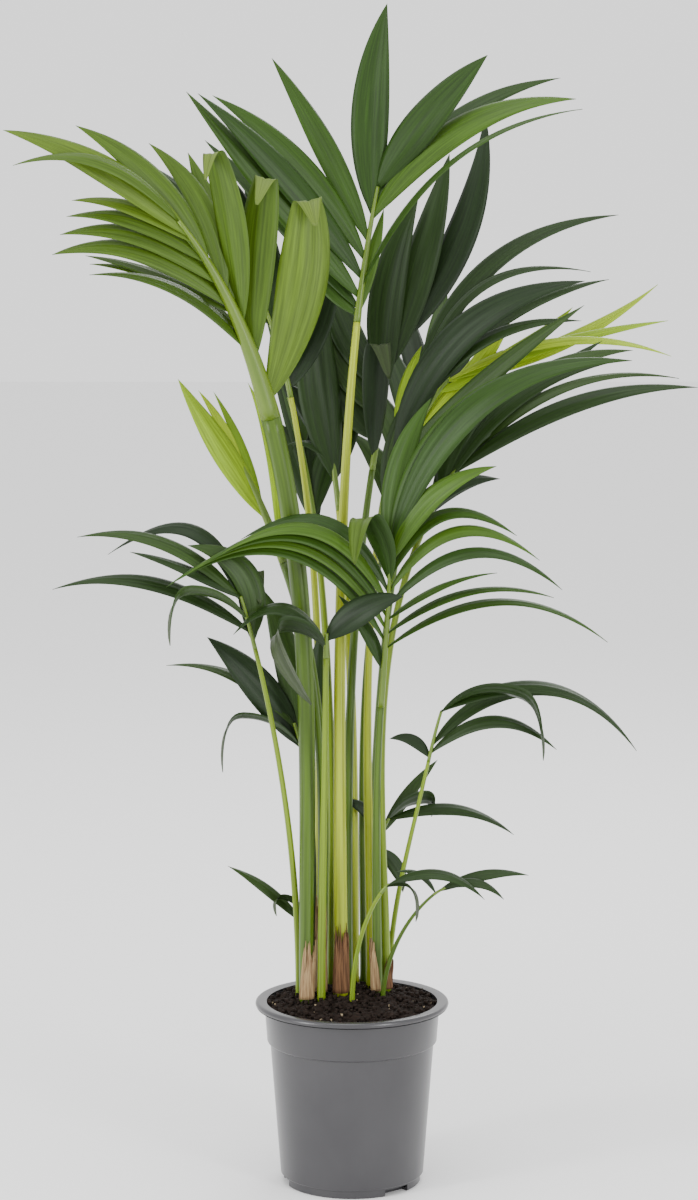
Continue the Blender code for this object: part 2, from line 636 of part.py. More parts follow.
def leaf_frame(root, leaf, share):
    """The point there, the direction across the blade and the direction out of its upper face."""
    along = leaf_heading(root, leaf, share)
    across = leaf_across(root, leaf, share, along)
    across = (across - along * across.dot(along)).normalized()
    return leaf_place(root, leaf, share), across, across.cross(along)


def leaf_rings(leaf, rings=LEAF_RINGS):
    """The rings' places. A creased leaflet has more of them, past its crease."""
    crease = crease_share(leaf)
    shares = [share * crease for share in rings]
    if leaf.hang:
        shares += [crease + (1 - crease) * share for share in FOLD_RINGS]
    return shares


def leaf_shape(root, leaf, rings=LEAF_RINGS, extra=0.0):
    """Points and faces of a leaflet: a flat rhombus at each ring and a point at the tip."""
    rings = leaf_rings(leaf, rings)
    thickness = max((leaf.reach + abs(leaf.hang)) * LEAF_THICKNESS, LEAF_LEAST) / 2 + extra
    verts, faces = [], []
    for share in rings:
        point, across, out = leaf_frame(root, leaf, share)
        half = leaf_width(leaf, share) / 2 + extra
        depth = min(thickness, half)
        verts += [point + across * half, point + out * depth, point - across * half, point - out * depth]
    verts.append(leaf_place(root, leaf, 1.0))
    for ring in range(len(rings) - 1):
        for corner in range(4):
            here, there = ring * 4 + corner, ring * 4 + (corner + 1) % 4
            faces.append((here, here + 4, there + 4, there))
    last = len(rings) * 4 - 4
    faces += [(last + corner, len(verts) - 1, last + (corner + 1) % 4) for corner in range(4)]
    faces.append((0, 1, 2, 3))
    return verts, faces


def leaves_of(frond):
    """Each leaflet of a frond, with its own values, and its root on the rachis."""
    for run in frond.runs:
        for index in range(run.count):
            share = index / max(run.count - 1, 1)
            leaf = run._replace(**{field: between(getattr(run, field), share) for field in run._fields[1:]})
            yield rachis_point(frond, leaf.at), leaf


def tree_of(shape):
    return BVHTree.FromPolygons(*shape)


def grow_leaves():
    """Every frond's leaflets. One that would touch a limb or a leaflet swings aside, or is left out."""
    limbs = []
    for name, frond in FRONDS.items():
        limbs.append(("", tree_of(tube(*stem_line(frond, STEM_RINGS), STEM_SIDES))))
        limbs.append((name, tree_of(tube(*rachis_line(frond, RACHIS_RINGS), RACHIS_SIDES))))
    grown = {name: [] for name in FRONDS}
    taken = []
    for name, frond in FRONDS.items():
        for root, leaf in leaves_of(frond):
            for swing in SWINGS:
                swung = leaf._replace(lean=leaf.lean + swing)
                whole = tree_of(leaf_shape(root, swung, extra=LEAF_CLEAR))
                free = tree_of(leaf_shape(root, swung, LEAF_RINGS[2:], LEAF_CLEAR))
                if not touches(name, whole, free, limbs, taken):
                    grown[name].append((root, swung))
                    taken.append((name, whole, free))
                    break
    return grown


def touches(name, whole, free, limbs, taken):
    """Whether a leaflet meets a limb other than its rachis, or a leaflet. Roots on one rachis may meet."""
    if any(owner != name and whole.overlap(limb) for owner, limb in limbs):
        return True
    for owner, near_whole, near_free in taken:
        if free.overlap(near_free) if owner == name else whole.overlap(near_whole):
            return True
    return False


def make_stem(name, frond):
    stem = add_object("stem_" + name, tube(*stem_line(frond, STEM_RINGS), STEM_SIDES), "stem")
    stem.data.shade_smooth()


def make_frond(name, frond, leaves):
    blade = add_object("frond_" + name, tube(*rachis_line(frond, RACHIS_RINGS), RACHIS_SIDES), frond.tone)
    parts = []
    for index, (root, leaf) in enumerate(leaves):
        parts.append(add_object(f"leaflet_{name}_{index}", leaf_shape(root, leaf), frond.tone))
    apply_boolean(blade, "UNION", parts)


def make_sheath(name, height, facing, finish):
    """A thin curved husk that wraps part of a stem's foot and ends in a ragged top."""
    frond = FRONDS[name]
    foot = stem_foot(frond)
    chance = random.Random(name)
    start = soil_height(math.hypot(*frond.foot)) + 2 * SOIL_BUMP
    jags = [chance.uniform(SHEATH_JAG, 1.0) for _ in range(SHEATH_COLUMNS)]
    solid = bmesh.new()
    walls = []
    for skin in (0, SHEATH_WALL):
        grid = []
        for row in range(SHEATH_ROWS):
            up = row / (SHEATH_ROWS - 1)
            line = []
            for column, jag in enumerate(jags):
                rise = start + height * jag * up
                middle, radius = stem_at_height(frond, foot, rise)
                turn = SHEATH_SPAN * (1 - up / 2) * (column / (SHEATH_COLUMNS - 1) - 1 / 2)
                angle = math.radians(facing + turn)
                out = Vector((math.cos(angle), math.sin(angle), 0)) * (radius + SHEATH_GAP + skin)
                line.append(solid.verts.new((middle.x + out.x, middle.y + out.y, rise)))
            grid.append(line)
        walls.append(grid)
    close_shell(solid, *walls)
    add_object("sheath_" + name, solid, finish)


def stem_at_height(frond, foot, height):
    """The stem's middle and radius where it passes a height, near its foot."""
    points, _, radii = stem_line(frond, FINE_RINGS)
    for index in range(len(points) - 1):
        if points[index + 1].z >= height:
            return points[index + 1], radii[index + 1]
    return foot, frond.radii[0]


def close_shell(solid, inner, outer):
    """Faces for two like grids of points and for the edge between them."""
    rows, columns = len(inner), len(inner[0])
    for row in range(rows - 1):
        for column in range(columns - 1):
            for grid in (inner, outer):
                low, high = grid[row], grid[row + 1]
                solid.faces.new((low[column], low[column + 1], high[column + 1], high[column]))
    rim = [(0, column) for column in range(columns)]
    rim += [(row, columns - 1) for row in range(1, rows)]
    rim += [(rows - 1, column) for column in range(columns - 2, -1, -1)]
    rim += [(row, 0) for row in range(rows - 2, 0, -1)]
    for (row, column), (next_row, next_column) in zip(rim, rim[1:] + rim[:1]):
        near, far = inner[row][column], outer[row][column]
        solid.faces.new((near, inner[next_row][next_column], outer[next_row][next_column], far))


def main():
    clear_scene()
    make_pot()
    make_soil()
    grown = grow_leaves()
    for name, frond in FRONDS.items():
        make_stem(name, frond)
        make_frond(name, frond, grown[name])
    for name, (height, facing, finish) in SHEATHS.items():
        make_sheath(name, height, facing, finish)


main()
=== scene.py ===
"""A kentia palm in a plastic nursery pot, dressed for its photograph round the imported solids."""

import math
import random
from collections import namedtuple

import bmesh
import bpy
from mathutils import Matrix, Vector
from mathutils.bvhtree import BVHTree
from mathutils.noise import noise


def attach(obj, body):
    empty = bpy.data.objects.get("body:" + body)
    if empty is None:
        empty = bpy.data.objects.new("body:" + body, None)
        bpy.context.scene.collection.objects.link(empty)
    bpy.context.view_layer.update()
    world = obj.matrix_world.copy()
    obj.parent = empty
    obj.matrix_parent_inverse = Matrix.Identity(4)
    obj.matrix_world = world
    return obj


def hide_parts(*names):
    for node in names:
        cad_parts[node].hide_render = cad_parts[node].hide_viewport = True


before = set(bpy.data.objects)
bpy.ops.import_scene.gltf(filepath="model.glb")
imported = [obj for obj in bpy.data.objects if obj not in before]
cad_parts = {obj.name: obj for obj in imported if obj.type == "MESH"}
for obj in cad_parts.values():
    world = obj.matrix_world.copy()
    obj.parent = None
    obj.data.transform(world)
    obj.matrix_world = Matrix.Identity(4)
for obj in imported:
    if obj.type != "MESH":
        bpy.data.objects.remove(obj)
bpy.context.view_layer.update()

# The camera, and the photograph's size and the camera's focal length in its pixels.
PHOTO_WIDTH, PHOTO_HEIGHT = 698, 1200
FOCAL_PIXELS = 3333
MIDDLE_PIXEL = 352
CAMERA_PLACE = (0, -3.2, 1.0)
CAMERA_TILT = 7.51
SENSOR = 36

UP = Vector((0, 0, 1))
SEED = 11
GAP = 0.0003  # left between pieces that touch
STEP = 0.001  # share of a curve's length over which its direction is taken

# The pot, turned about Z. Radii are to the outer wall.
POT_HEIGHT = 0.182
RIM_RADIUS = 0.095
RIM_HEIGHT = 0.006
COLLAR_TOP_RADIUS = 0.086
COLLAR_RADIUS = 0.0835
COLLAR_HEIGHT = 0.034
SHOULDER = POT_HEIGHT - RIM_HEIGHT - COLLAR_HEIGHT
STEP_HEIGHT = 0.002
BODY_TOP_RADIUS = 0.0805
BODY_FOOT_RADIUS = 0.0705
FOOT_RADIUS = 0.0675
FOOT_HEIGHT = 0.0085
WALL = 0.0025
FLOOR = 0.003
FILLET_HEIGHT = 0.012  # where the inner wall meets the foot's
RIM_EDGE = 0.001  # its bevel
NOTCH_DEPTH = 0.02
NOTCHES = 3
NOTCH_WIDTH = 0.029
NOTCH_HEIGHT = 0.0065
NOTCH_ANGLE = -49.0  # of the first notch, in degrees from +X

# The soil fills the pot and is heaped a little above its rim.
SOIL_EDGE = 0.177
SOIL_HEAP = 0.012
SOIL_BUMP = 0.0018
POCKET_DEPTH = 0.005  # how far the stems stand in the soil

STEM_SIDES = 6
STEM_RINGS = 9
FINE_RINGS = 60  # for looking up a height along a stem
RACHIS_SIDES = 5
RACHIS_RINGS = 6

# A leaflet's cross-section is a flat rhombus. These are the places of its rings, as shares of its length.
LEAF_RINGS = (0.0, 0.1, 0.28, 0.5, 0.72, 0.9)
LEAF_THICKNESS = 0.0125  # of its length
LEAF_LEAST = 0.0012  # the thinnest that a leaflet is
LEAF_ROOT = 0.13  # width at the root, of the full width
LEAF_BEND = 0.55  # where along its reach a leaflet's bow is centred
LEAF_CLEAR = 0.0006  # kept free round a leaflet
LEAF_RISE = 0.75  # how slowly a leaflet widens from its root
LEAF_STEP = 0.01
FOLD_RINGS = (0.0, 0.25, 0.6)  # places of the rings past a crease
FOLD_RISE = 0.25  # the fold's height, and how far it stands out, falls and drifts, of the folded length
FOLD_OUT = 0.42
FOLD_FALL = 0.85
FOLD_DRIFT = 0.3
FOLD_STAND = 0.006  # added to the fold's height and to how far it stands out
TIP_SHARE = 1.0  # how early a plain leaflet narrows towards its tip
CREASED_TIP_SHARE = 0.6
TIP_TURN = 0.25  # how much further a leaflet has turned at its tip
SWINGS = (0, 5, -5, 10, -10, 15, -15, 21, -21, 28, -28)

SHEATH_WALL = 0.0009
SHEATH_GAP = 0.0011
SHEATH_SPAN = 165.0  # degrees round the stem, at its foot
SHEATH_JAG = 0.55  # height of the lowest notch in its top edge, of the sheath's

# foot is where the stem leaves the soil, base is where it ends and the rachis begins, and crook is where
# the lines of the rachis's two ends meet. radii are those of the stem's foot and top and the rachis's tip.
# tone picks a row of the leaf colours, which holds painted light and shade besides the leaves' own green.
Frond = namedtuple("Frond", "foot base crook tip radii tone runs")

# A run of like leaflets. A pair of values runs from the first leaflet to the last. at is the share along
# the rachis, bearing the direction seen from the front in degrees from +X, reach the distance from root to
# tip seen so, bow the height of the arc's control point over the reach, lean the angle towards the front,
# turn the share of a quarter turn from facing the front to facing up, and hang the length that is folded
# over the front and falls to the right, or to the left where it is negative.
Run = namedtuple("Run", "count at bearing reach bow width lean turn hang", defaults=(0.0, 0.15, 0.0))

# A frond's tone is partly painted light: the deep fronds at the back are darkened as painted shade, and the
# light arch and the lime glow are brightened as painted light where their leaves are lit from behind.
FRONDS = {
    "crown": Frond(
        (-0.011, -0.010), (0.005, 0.035, 0.845), (0.012, 0.045, 0.910), (0.025, 0.055, 0.975),
        (0.0070, 0.0034, 0.0017), "mid", (
            Run(1, 0.80, 86, 0.203, 0.09, 0.037, -8),
            Run(1, 1.00, 50, 0.164, 0.09, 0.038, 6),
            Run(2, (0.90, 0.77), (33, 30), (0.217, 0.227), (0.22, 0.29), (0.020, 0.032), (-12, 4), 0.3),
            Run(1, 0.26, 39, 0.269, 0.30, 0.022, 14, 0.6),
            Run(1, 0.60, 118, 0.199, 0.06, 0.025, -4),
            Run(3, (0.46, 0.18), (133, 130), (0.215, 0.257), (0.16, 0.02), (0.026, 0.029), (6, 10)),
            Run(2, (0.10, 0.05), (133, 118), (0.222, 0.121), (0.04, -0.21), 0.022, (-16, -22)),
            Run(1, 0.06, 76, 0.104, 0.0, 0.014, -14),
        )),
    "fan": Frond(
        (-0.005, 0.020), (0.020, 0.100, 0.695), (0.032, 0.122, 0.770), (0.042, 0.140, 0.820),
        (0.0055, 0.0030, 0.0016), "deep", (
            Run(3, (0.55, 0.95), (80, 68), (0.195, 0.250), (0.15, -0.17), (0.036, 0.034), (-12, -14)),
            Run(3, (0.55, 0.20), (112, 118), (0.163, 0.133), -0.15, 0.033, (-10, -18)),
            Run(1, 0.08, 88, 0.110, 0.0, 0.030, 10, 0.1, 0.035),
        )),
    "shade": Frond(
        (0.001, 0.055), (-0.013, 0.098, 0.655), (-0.022, 0.118, 0.735), (-0.035, 0.135, 0.785),
        (0.0060, 0.0030, 0.0016), "deep", (
            Run(1, 0.20, 95, 0.216, -0.07, 0.044, -8),
            Run(2, (0.40, 0.70), (125, 115), (0.080, 0.115), 0.10, 0.024, (-20, -14)),
            Run(2, (0.90, 0.20), 78, 0.120, -0.05, 0.022, (-24, -30)),
            Run(1, 0.30, 157, 0.050, 0.40, 0.014, 4, 0.5),
        )),
    "behind": Frond(
        (-0.034, 0.024), (-0.060, 0.065, 0.770), (-0.075, 0.070, 0.845), (-0.105, 0.070, 0.900),
        (0.0045, 0.0026, 0.0015), "deep", (
            Run(2, (0.73, 0.92), (135, 128), (0.195, 0.110), 0.21, 0.019, (-4, -14), 0.4),
            Run(2, (0.73, 0.43), (109, 102), (0.136, 0.148), (0.17, 0.10), (0.024, 0.029), (-10, -16)),
            Run(2, (0.20, 0.06), (79, 69), (0.163, 0.131), -0.10, (0.029, 0.023), (-12, -24)),
            Run(2, (0.50, 0.84), (155, 160), (0.144, 0.155), (0.22, 0.30), 0.020, (-6, -12), 0.5),
        )),
    "arch": Frond(
        (-0.045, -0.020), (-0.077, -0.056, 0.760), (-0.105, -0.085, 0.875), (-0.160, -0.110, 0.945),
        (0.0065, 0.0092, 0.0018), "light", (
            Run(1, 0.06, 78, 0.190, -0.12, 0.050, 6, 0.1, 0.025),
            Run(2, (0.24, 0.40), (86, 98), (0.168, 0.160), 0.05, (0.036, 0.034), (8, 12), 0.1, -0.026),
            Run(1, 0.50, 106, 0.150, 0.08, 0.024, 4),
            Run(3, (0.57, 0.90), (117, 150), (0.157, 0.194), (0.23, 0.16), (0.024, 0.027), (2, 12)),
            Run(1, 1.0, 161, 0.155, 0.37, 0.017, 20, 0.4),
            Run(4, (0.86, 0.50), (161, 163), (0.120, 0.172), (0.21, 0.32), (0.017, 0.027), (2, 12), 0.3),
            Run(3, (0.47, 0.28), (159, 153), (0.150, 0.165), (0.12, 0.30), (0.018, 0.022), (-4, 8), 0.5),
        )),
    "spear": Frond(
        (-0.030, -0.003), (-0.066, 0.001, 0.615), (-0.090, 0.004, 0.680), (-0.110, 0.008, 0.715),
        (0.0050, 0.0046, 0.0018), "lime", (
            Run(1, 0.35, 122, 0.160, 0.0, 0.025, 2),
            Run(2, (0.45, 0.88), (113, 120), (0.121, 0.086), 0.07, 0.010, (-8, -2)),
            Run(1, 0.10, 100, 0.165, 0.14, 0.015, 8),
        )),
    "left": Frond(
        (-0.052, 0.004), (-0.092, -0.067, 0.540), (-0.100, -0.076, 0.575), (-0.105, -0.080, 0.592),
        (0.0034, 0.0021, 0.0014), "deep", (
            Run(1, 0.10, 92, 0.062, 0.0, 0.029, -14, 0.1, 0.030),
            Run(1, 0.45, 152, 0.062, 0.25, 0.025, 14, 0.2, -0.055),
            Run(2, (0.25, 0.60), (168, 158), (0.193, 0.142), (0.28, 0.75), 0.019, (8, -8), 0.45),
            Run(2, (0.88, 0.95), (159, 157), (0.167, 0.114), (0.30, 0.10), (0.018, 0.014), (-2, 2), 0.45),
            Run(1, 0.15, 124, 0.109, 0.54, 0.028, -16),
        )),
    "heart": Frond(
        (-0.030, -0.022), (-0.025, -0.068, 0.532), (-0.025, -0.072, 0.545), (-0.024, -0.075, 0.556),
        (0.0040, 0.0026, 0.0017), "deep", (
            Run(1, 0.60, 174, 0.088, 0.69, 0.023, 8, 0.6),
            Run(1, 0.33, 148, 0.043, 0.25, 0.040, 15, 0.2, 0.080),
            Run(1, 0.72, 31, 0.085, 0.21, 0.028, 12),
        )),
    "spray": Frond(
        (0.025, 0.000), (0.028, -0.028, 0.478), (0.034, -0.046, 0.560), (0.037, -0.055, 0.636),
        (0.0050, 0.0029, 0.0016), "mid", (
            Run(1, 1.0, 39, 0.287, 0.40, 0.031, 12, 0.25),
            Run(2, (0.97, 1.0), (75, 58), (0.151, 0.193), (0.17, 0.20), 0.026, (-6, 2)),
            Run(1, 0.90, 44, 0.138, 0.29, 0.022, 16),
            Run(3, (0.80, 0.62), (19, 8), (0.128, 0.165), (0.66, 0.54), (0.016, 0.014), (4, 18), 0.35),
            Run(3, (0.54, 0.36), (26, 3), (0.115, 0.211), (0.17, 0.41), 0.015, (20, 10), 0.6),
            Run(1, 0.78, 108, 0.062, 0.1, 0.036, 14, 0.1, -0.045),
            Run(5, (0.71, 0.40), (160, 164), (0.150, 0.216), 0.58, 0.017, (-4, 14), 0.35),
            Run(1, 0.22, 121, 0.085, 0.15, 0.014, -4),
        )),
    "reach": Frond(
        (0.019, 0.020), (0.028, 0.042, 0.655), (0.042, 0.047, 0.755), (0.090, 0.040, 0.805),
        (0.0050, 0.0029, 0.0016), "deep", (
            Run(2, (0.58, 0.46), (43, 33), (0.283, 0.205), (0.37, 0.34), (0.022, 0.018), (-10, 14), 0.3),
            Run(1, 0.34, 43, 0.248, 0.35, 0.034, 8),
            Run(2, (0.70, 0.84), (36, 29), (0.208, 0.201), (0.50, 0.18), (0.014, 0.018), (-2, -6), 0.45),
            Run(1, 0.22, 42, 0.250, 0.07, 0.020, 14),
            Run(2, (0.10, 0.18), (67, 62), (0.145, 0.165), 0.12, (0.028, 0.024), (-4, 2)),
        )),
    "glow": Frond(
        (0.012, 0.062), (0.038, 0.097, 0.655), (0.060, 0.105, 0.745), (0.096, 0.105, 0.785),
        (0.0040, 0.0025, 0.0015), "lime", (
            Run(3, (0.18, 0.85), (71, 33), (0.162, 0.157), -0.09, (0.022, 0.018), (-8, 2)),
            Run(3, 0.98, (25, 8), (0.228, 0.215), (-0.11, 0.25), (0.018, 0.012), (4, 10), 0.35),
            Run(1, 0.30, 81, 0.113, 0.16, 0.018, -24),
        )),
    "sweep": Frond(
        (0.034, 0.012), (0.066, -0.028, 0.645), (0.090, -0.036, 0.705), (0.125, -0.040, 0.740),
        (0.0045, 0.0028, 0.0015), "deep", (
            Run(1, 0.56, 20, 0.245, 0.20, 0.019, 6, 0.25),
            Run(1, 0.52, 23, 0.238, 0.31, 0.014, -4, 0.45),
            Run(1, 0.44, 37, 0.201, 0.27, 0.016, 12, 0.25),
            Run(2, (0.72, 0.85), (32, 38), (0.192, 0.161), (0.29, 0.09), (0.021, 0.016), (-8, -14), 0.25),
            Run(2, (0.34, 0.20), (57, 71), (0.139, 0.112), (0.26, 0.02), (0.025, 0.017), (4, -12)),
        )),
    "low_right": Frond(
        (0.036, 0.026), (0.074, -0.028, 0.425), (0.081, -0.037, 0.460), (0.086, -0.040, 0.476),
        (0.0028, 0.0017, 0.0013), "deep", (
            Run(1, 1.0, -11, 0.190, 0.46, 0.020, 6, 0.55),
            Run(1, 0.94, 15, 0.078, 0.30, 0.033, 14, 0.3, 0.066),
            Run(2, (0.25, 0.12), (20, 5), (0.130, 0.120), (0.35, 0.50), 0.016, (-6, 20), 0.4),
            Run(1, 0.05, 157, 0.042, 0.42, 0.012, -14),
        )),
    "low_back": Frond(
        (0.035, 0.045), (0.024, 0.052, 0.312), (0.027, 0.050, 0.338), (0.037, 0.045, 0.354),
        (0.0030, 0.0019, 0.0014), "deep", (
            Run(1, 0.95, -5, 0.124, 0.31, 0.016, 10, 0.5),
            Run(1, 0.85, 30, 0.045, 0.25, 0.025, 4, 0.1, 0.018),
            Run(1, 0.55, 50, 0.088, 0.07, 0.013, -4),
            Run(1, 0.20, -60, 0.050, 0.30, 0.016, 6),
            Run(1, 0.45, 136, 0.056, 0.36, 0.013, -20),
        )),
    "foot_right": Frond(
        (0.030, -0.014), (0.079, -0.049, 0.298), (0.083, -0.052, 0.302), (0.090, -0.055, 0.306),
        (0.0024, 0.0014, 0.0011), "deep", (
            Run(2, (0.5, 0.95), (11, -8), (0.088, 0.057), (0.19, 0.39), (0.012, 0.010), (4, 16), 0.35),
            Run(1, 0.2, 150, 0.045, 0.40, 0.009, 10, 0.5),
        )),
    "foot_front": Frond(
        (0.000, -0.032), (0.028, -0.059, 0.302), (0.031, -0.061, 0.307), (0.036, -0.061, 0.311),
        (0.0026, 0.0017, 0.0012), "deep", (
            Run(1, 0.6, 10, 0.018, 0.10, 0.018, 20, 0.2, 0.036),
            Run(1, 0.95, -7, 0.092, 0.39, 0.013, 6, 0.45),
        )),
    "foot_left": Frond(
        (-0.046, 0.030), (-0.050, 0.021, 0.252), (-0.050, 0.020, 0.260), (-0.050, 0.020, 0.268),
        (0.0024, 0.0016, 0.0012), "deep", (
            Run(1, 0.2, 142, 0.092, 0.12, 0.013, 2, 0.4),
            Run(1, 0.85, 140, 0.024, 0.25, 0.014, 14, 0.3, -0.018),
        )),
    "low_left": Frond(
        (-0.040, 0.012), (-0.048, 0.003, 0.425), (-0.052, -0.001, 0.445), (-0.056, -0.005, 0.458),
        (0.0036, 0.0024, 0.0015), "deep", (
            Run(1, 0.25, 130, 0.141, 0.12, 0.034, 2),
            Run(1, 0.80, 156, 0.140, 0.30, 0.017, -8, 0.6),
            Run(1, 0.20, 150, 0.066, 0.25, 0.019, 14, 0.3, -0.058),
            Run(2, (0.35, 0.30), (104, 80), (0.151, 0.105), (0.11, -0.08), 0.029, (-12, -18)),
        )),
    "back_left": Frond(
        (-0.020, 0.037), (-0.035, 0.130, 0.620), (-0.045, 0.165, 0.700), (-0.065, 0.205, 0.760),
        (0.0050, 0.0029, 0.0016), "deep", (
            Run(4, (0.10, 0.85), (112, 104), (0.110, 0.150), 0.15, 0.027, (-30, -42), 0.3),
            Run(4, (0.15, 0.90), (60, 78), (0.110, 0.145), (0.30, 0.10), 0.027, (-32, -44), 0.3),
            Run(1, 1.0, 96, 0.130, 0.05, 0.027, -38),
        )),
    "back_right": Frond(
        (0.020, 0.068), (0.045, 0.165, 0.600), (0.060, 0.200, 0.685), (0.085, 0.240, 0.735),
        (0.0050, 0.0029, 0.0016), "deep", (
            Run(4, (0.10, 0.85), (30, 62), (0.120, 0.160), (0.35, 0.10), 0.027, (-14, -36), 0.3),
            Run(4, (0.15, 0.90), (118, 104), (0.110, 0.150), (0.25, 0.05), 0.027, (-30, -42), 0.3),
            Run(1, 1.0, 84, 0.135, 0.05, 0.028, -38),
        )),
}

# The old leaf sheaths that still wrap some stems: height, the direction they face in degrees, and colour.
SHEATHS = {
    "arch": (0.060, -60, "straw"),
    "spear": (0.098, -110, "straw"),
    "crown": (0.072, -80, "husk"),
    "fan": (0.090, 170, "husk"),
    "spray": (0.055, -140, "straw"),
    "sweep": (0.034, -50, "husk"),
}

# Each tone's leaf colours: upper face in three shades, and underside. The tones hold painted light and
# shade besides the leaves' own green: deep is the dark upper face and, on the fronds at the back, painted
# shade; light is the paler underside and painted light on lit leaves; lime is the young leaf's own
# yellow-green and painted light through the leaves lit from behind.
LEAF_COLOURS_AND_PAINTED_LIGHT = {
    "deep": ((0.012, 0.030, 0.004), (0.020, 0.046, 0.005), (0.008, 0.020, 0.004), (0.028, 0.045, 0.012)),
    "mid": ((0.024, 0.062, 0.003), (0.042, 0.094, 0.005), (0.016, 0.044, 0.003), (0.056, 0.100, 0.010)),
    "light": ((0.052, 0.100, 0.006), (0.078, 0.135, 0.009), (0.036, 0.074, 0.005), (0.095, 0.145, 0.018)),
    "lime": ((0.200, 0.320, 0.006), (0.130, 0.230, 0.006), (0.270, 0.390, 0.012), (0.230, 0.330, 0.020)),
}
STEM_COLOURS = ((0.140, 0.215, 0.007), (0.290, 0.350, 0.012), (0.055, 0.105, 0.006), (0.022, 0.048, 0.005))
STRAW, STRAW_DARK = (0.400, 0.280, 0.140), (0.120, 0.060, 0.025)
HUSK, HUSK_DARK = (0.200, 0.100, 0.045), (0.040, 0.018, 0.009)
SOIL_BROWN, SOIL_BLACK = (0.022, 0.012, 0.008), (0.004, 0.003, 0.002)
SPECK_COLOUR = (0.36, 0.28, 0.18)
POT_GREY, POT_DARK = (0.034, 0.033, 0.036), (0.027, 0.026, 0.029)
FLOOR_COLOUR = (0.90, 0.90, 0.90)

# How a finish looks besides its two colours: roughness, how often its noise repeats over the mesh's own
# coordinates, the strength of its relief, its specular level and its clear coat.
Look = namedtuple("Look", "roughness stretch relief specular coat", defaults=(0.5, 0.0))
LEAF_LOOK = Look(0.44, (16, 1.6, 1), 0.35, 0.22)
RIB_LOOK = Look(0.38, (3, 1, 1), 0.2)
STEM_LOOK = Look(0.36, (9, 0.9, 1), 0.25, 0.3)
STRAW_LOOK = Look(0.75, (14, 2, 1), 0.6, 0.25)
HUSK_LOOK = Look(0.8, (14, 2, 1), 0.6, 0.2)
EARTH_LOOK = Look(0.95, (60, 60, 1), 1.0, 0.2)
SPECK_LOOK = Look(0.9, (8, 8, 1), 0.3, 0.2)
POT_LOOK = Look(0.30, (1.2, 1.2, 1), 0.04, 0.5, 0.15)
LEAF_LIGHTEST, LEAF_DARKEST = 1.25, 0.62  # of the colour in the table
STEM_LIGHTEST, STEM_DARKEST = 1.3, 0.55
SPECK_DARKEST = 0.5
COAT_ROUGHNESS = 0.25
NOISE_DETAIL, NOISE_ROUGHNESS = 4.0, 0.6
DARK_UP_TO, LIGHT_FROM = 0.34, 0.68  # of the noise
RELIEF_DEPTH = 0.0005

# Fine blades. Their underside and the rib have finishes of their own, after the three of the upper face.
BLADE_RINGS = 26
BLADE_COLUMNS = 9
BLADE_THICKNESS = 0.0005
BLADE_EDGE = 0.00004  # half the thickness that is left at its edge
BLADE_END = 0.997  # where its last ring stands, so that the tip closes
BLADE_SHADES = (0, 0, 1, 2)  # a leaflet's upper face is one of these
UNDERSIDE, RIB = 3, 4
FOLD_STEPS = 10
KEEL = 0.16  # how deep a blade is folded along its midrib, of its half width
RIPPLE, RIPPLES = 0.035, 3
WAVE, WAVE_LEAST = 0.10, 0.4  # how far a blade's edges wave, and the weakest wave's share of that
WAVE_RATE = 9
BLADE_GRAIN, BLADE_SHIFT = 8, 30  # repeats of the noise a metre, and how far it may shift

# Fine stems and ribs.
FINE_STEM_SIDES, FINE_STEM_RINGS = 18, 40
FINE_RACHIS_SIDES, FINE_RACHIS_RINGS = 10, 22
RACHIS_SWELL = 1.05
RIDGES, RIDGE = 6, 0.05  # their count and height, of the stem's radius
STEM_GRAIN = 4
TALL_BASE = 0.45  # stems that end higher have the first shades, the others the second
TALL_SHADES, LOW_SHADES = (0, 0, 1, 1, 2), (0, 2, 3)

# Fine sheaths.
PAPER_ROWS, PAPER_COLUMNS = 16, 34
PAPER_FLARE = 0.0012  # how far the top edge stands off, and the noise that it varies by
FLARE_ACROSS, FLARE_UP, FLARE_SEED = 0.5, 3, 7

# The heap and its crumbs and specks.
HEAP_RINGS, HEAP_SIDES = 46, 150
HEAP_LUMPS = ((0.0040, 70), (0.0026, 190), (0.0012, 480))  # height and how fine
LUMPS_RISE, LUMPS_LEAST = 6, 0.3  # how fast the lumps grow from the pot's wall, and what is left there
CRUMBS, SPECKS = 900, 46
CRUMB_SIZES, SPECK_SIZES = (0.0010, 0.0034), (0.0008, 0.0018)
CRUMB_CORNERS = (0.35, 0.75)  # how far a corner stands out, of the crumb's size
CRUMB_REACH = 0.985  # of the heap's radius
CRUMB_RISE = 0.0026

# The fine pot's rounded lip and soft edges.
FINE_POT_SIDES = 144
LIP_RADIUS = 0.003
LIP_STEPS = 6
LIP_EDGE = 0.0012
FOOT_EDGE = 0.0008
STEP_EDGE, STEP_SINK = 0.0006, 0.0002
COLLAR_EDGE, COLLAR_SINK = 0.0005, 0.0004
POT_GRAIN = 10
SHARP_ANGLE = 32

# The stage and the studio. Each lamp has its place, width, height and power in watts.
FLOOR_REACH = 12.0
FLOOR_ROUGHNESS = 0.9
WORLD_STRENGTH = 1.5
LAMPS_AIM = Vector((0, 0, 0.5))
LAMPS = {
    "key": ((-2.5, -1.7, 1.0), 0.6, 1.9, 62),
    "fill": ((1.9, -2.4, 1.0), 0.5, 1.9, 50),
    "top": ((-0.3, -0.9, 3.2), 1.6, 1.6, 34),
    "back": ((0.8, 2.0, 2.2), 1.5, 1.0, 26),
}


def between(value, share):
    """A plain value as it is, or the one at that share of the way from the pair's first to its last."""
    if isinstance(value, tuple):
        return value[0] + (value[1] - value[0]) * share
    return value


def bezier(start, control, end, share):
    return start * (1 - share) ** 2 + control * (2 * share * (1 - share)) + end * share**2


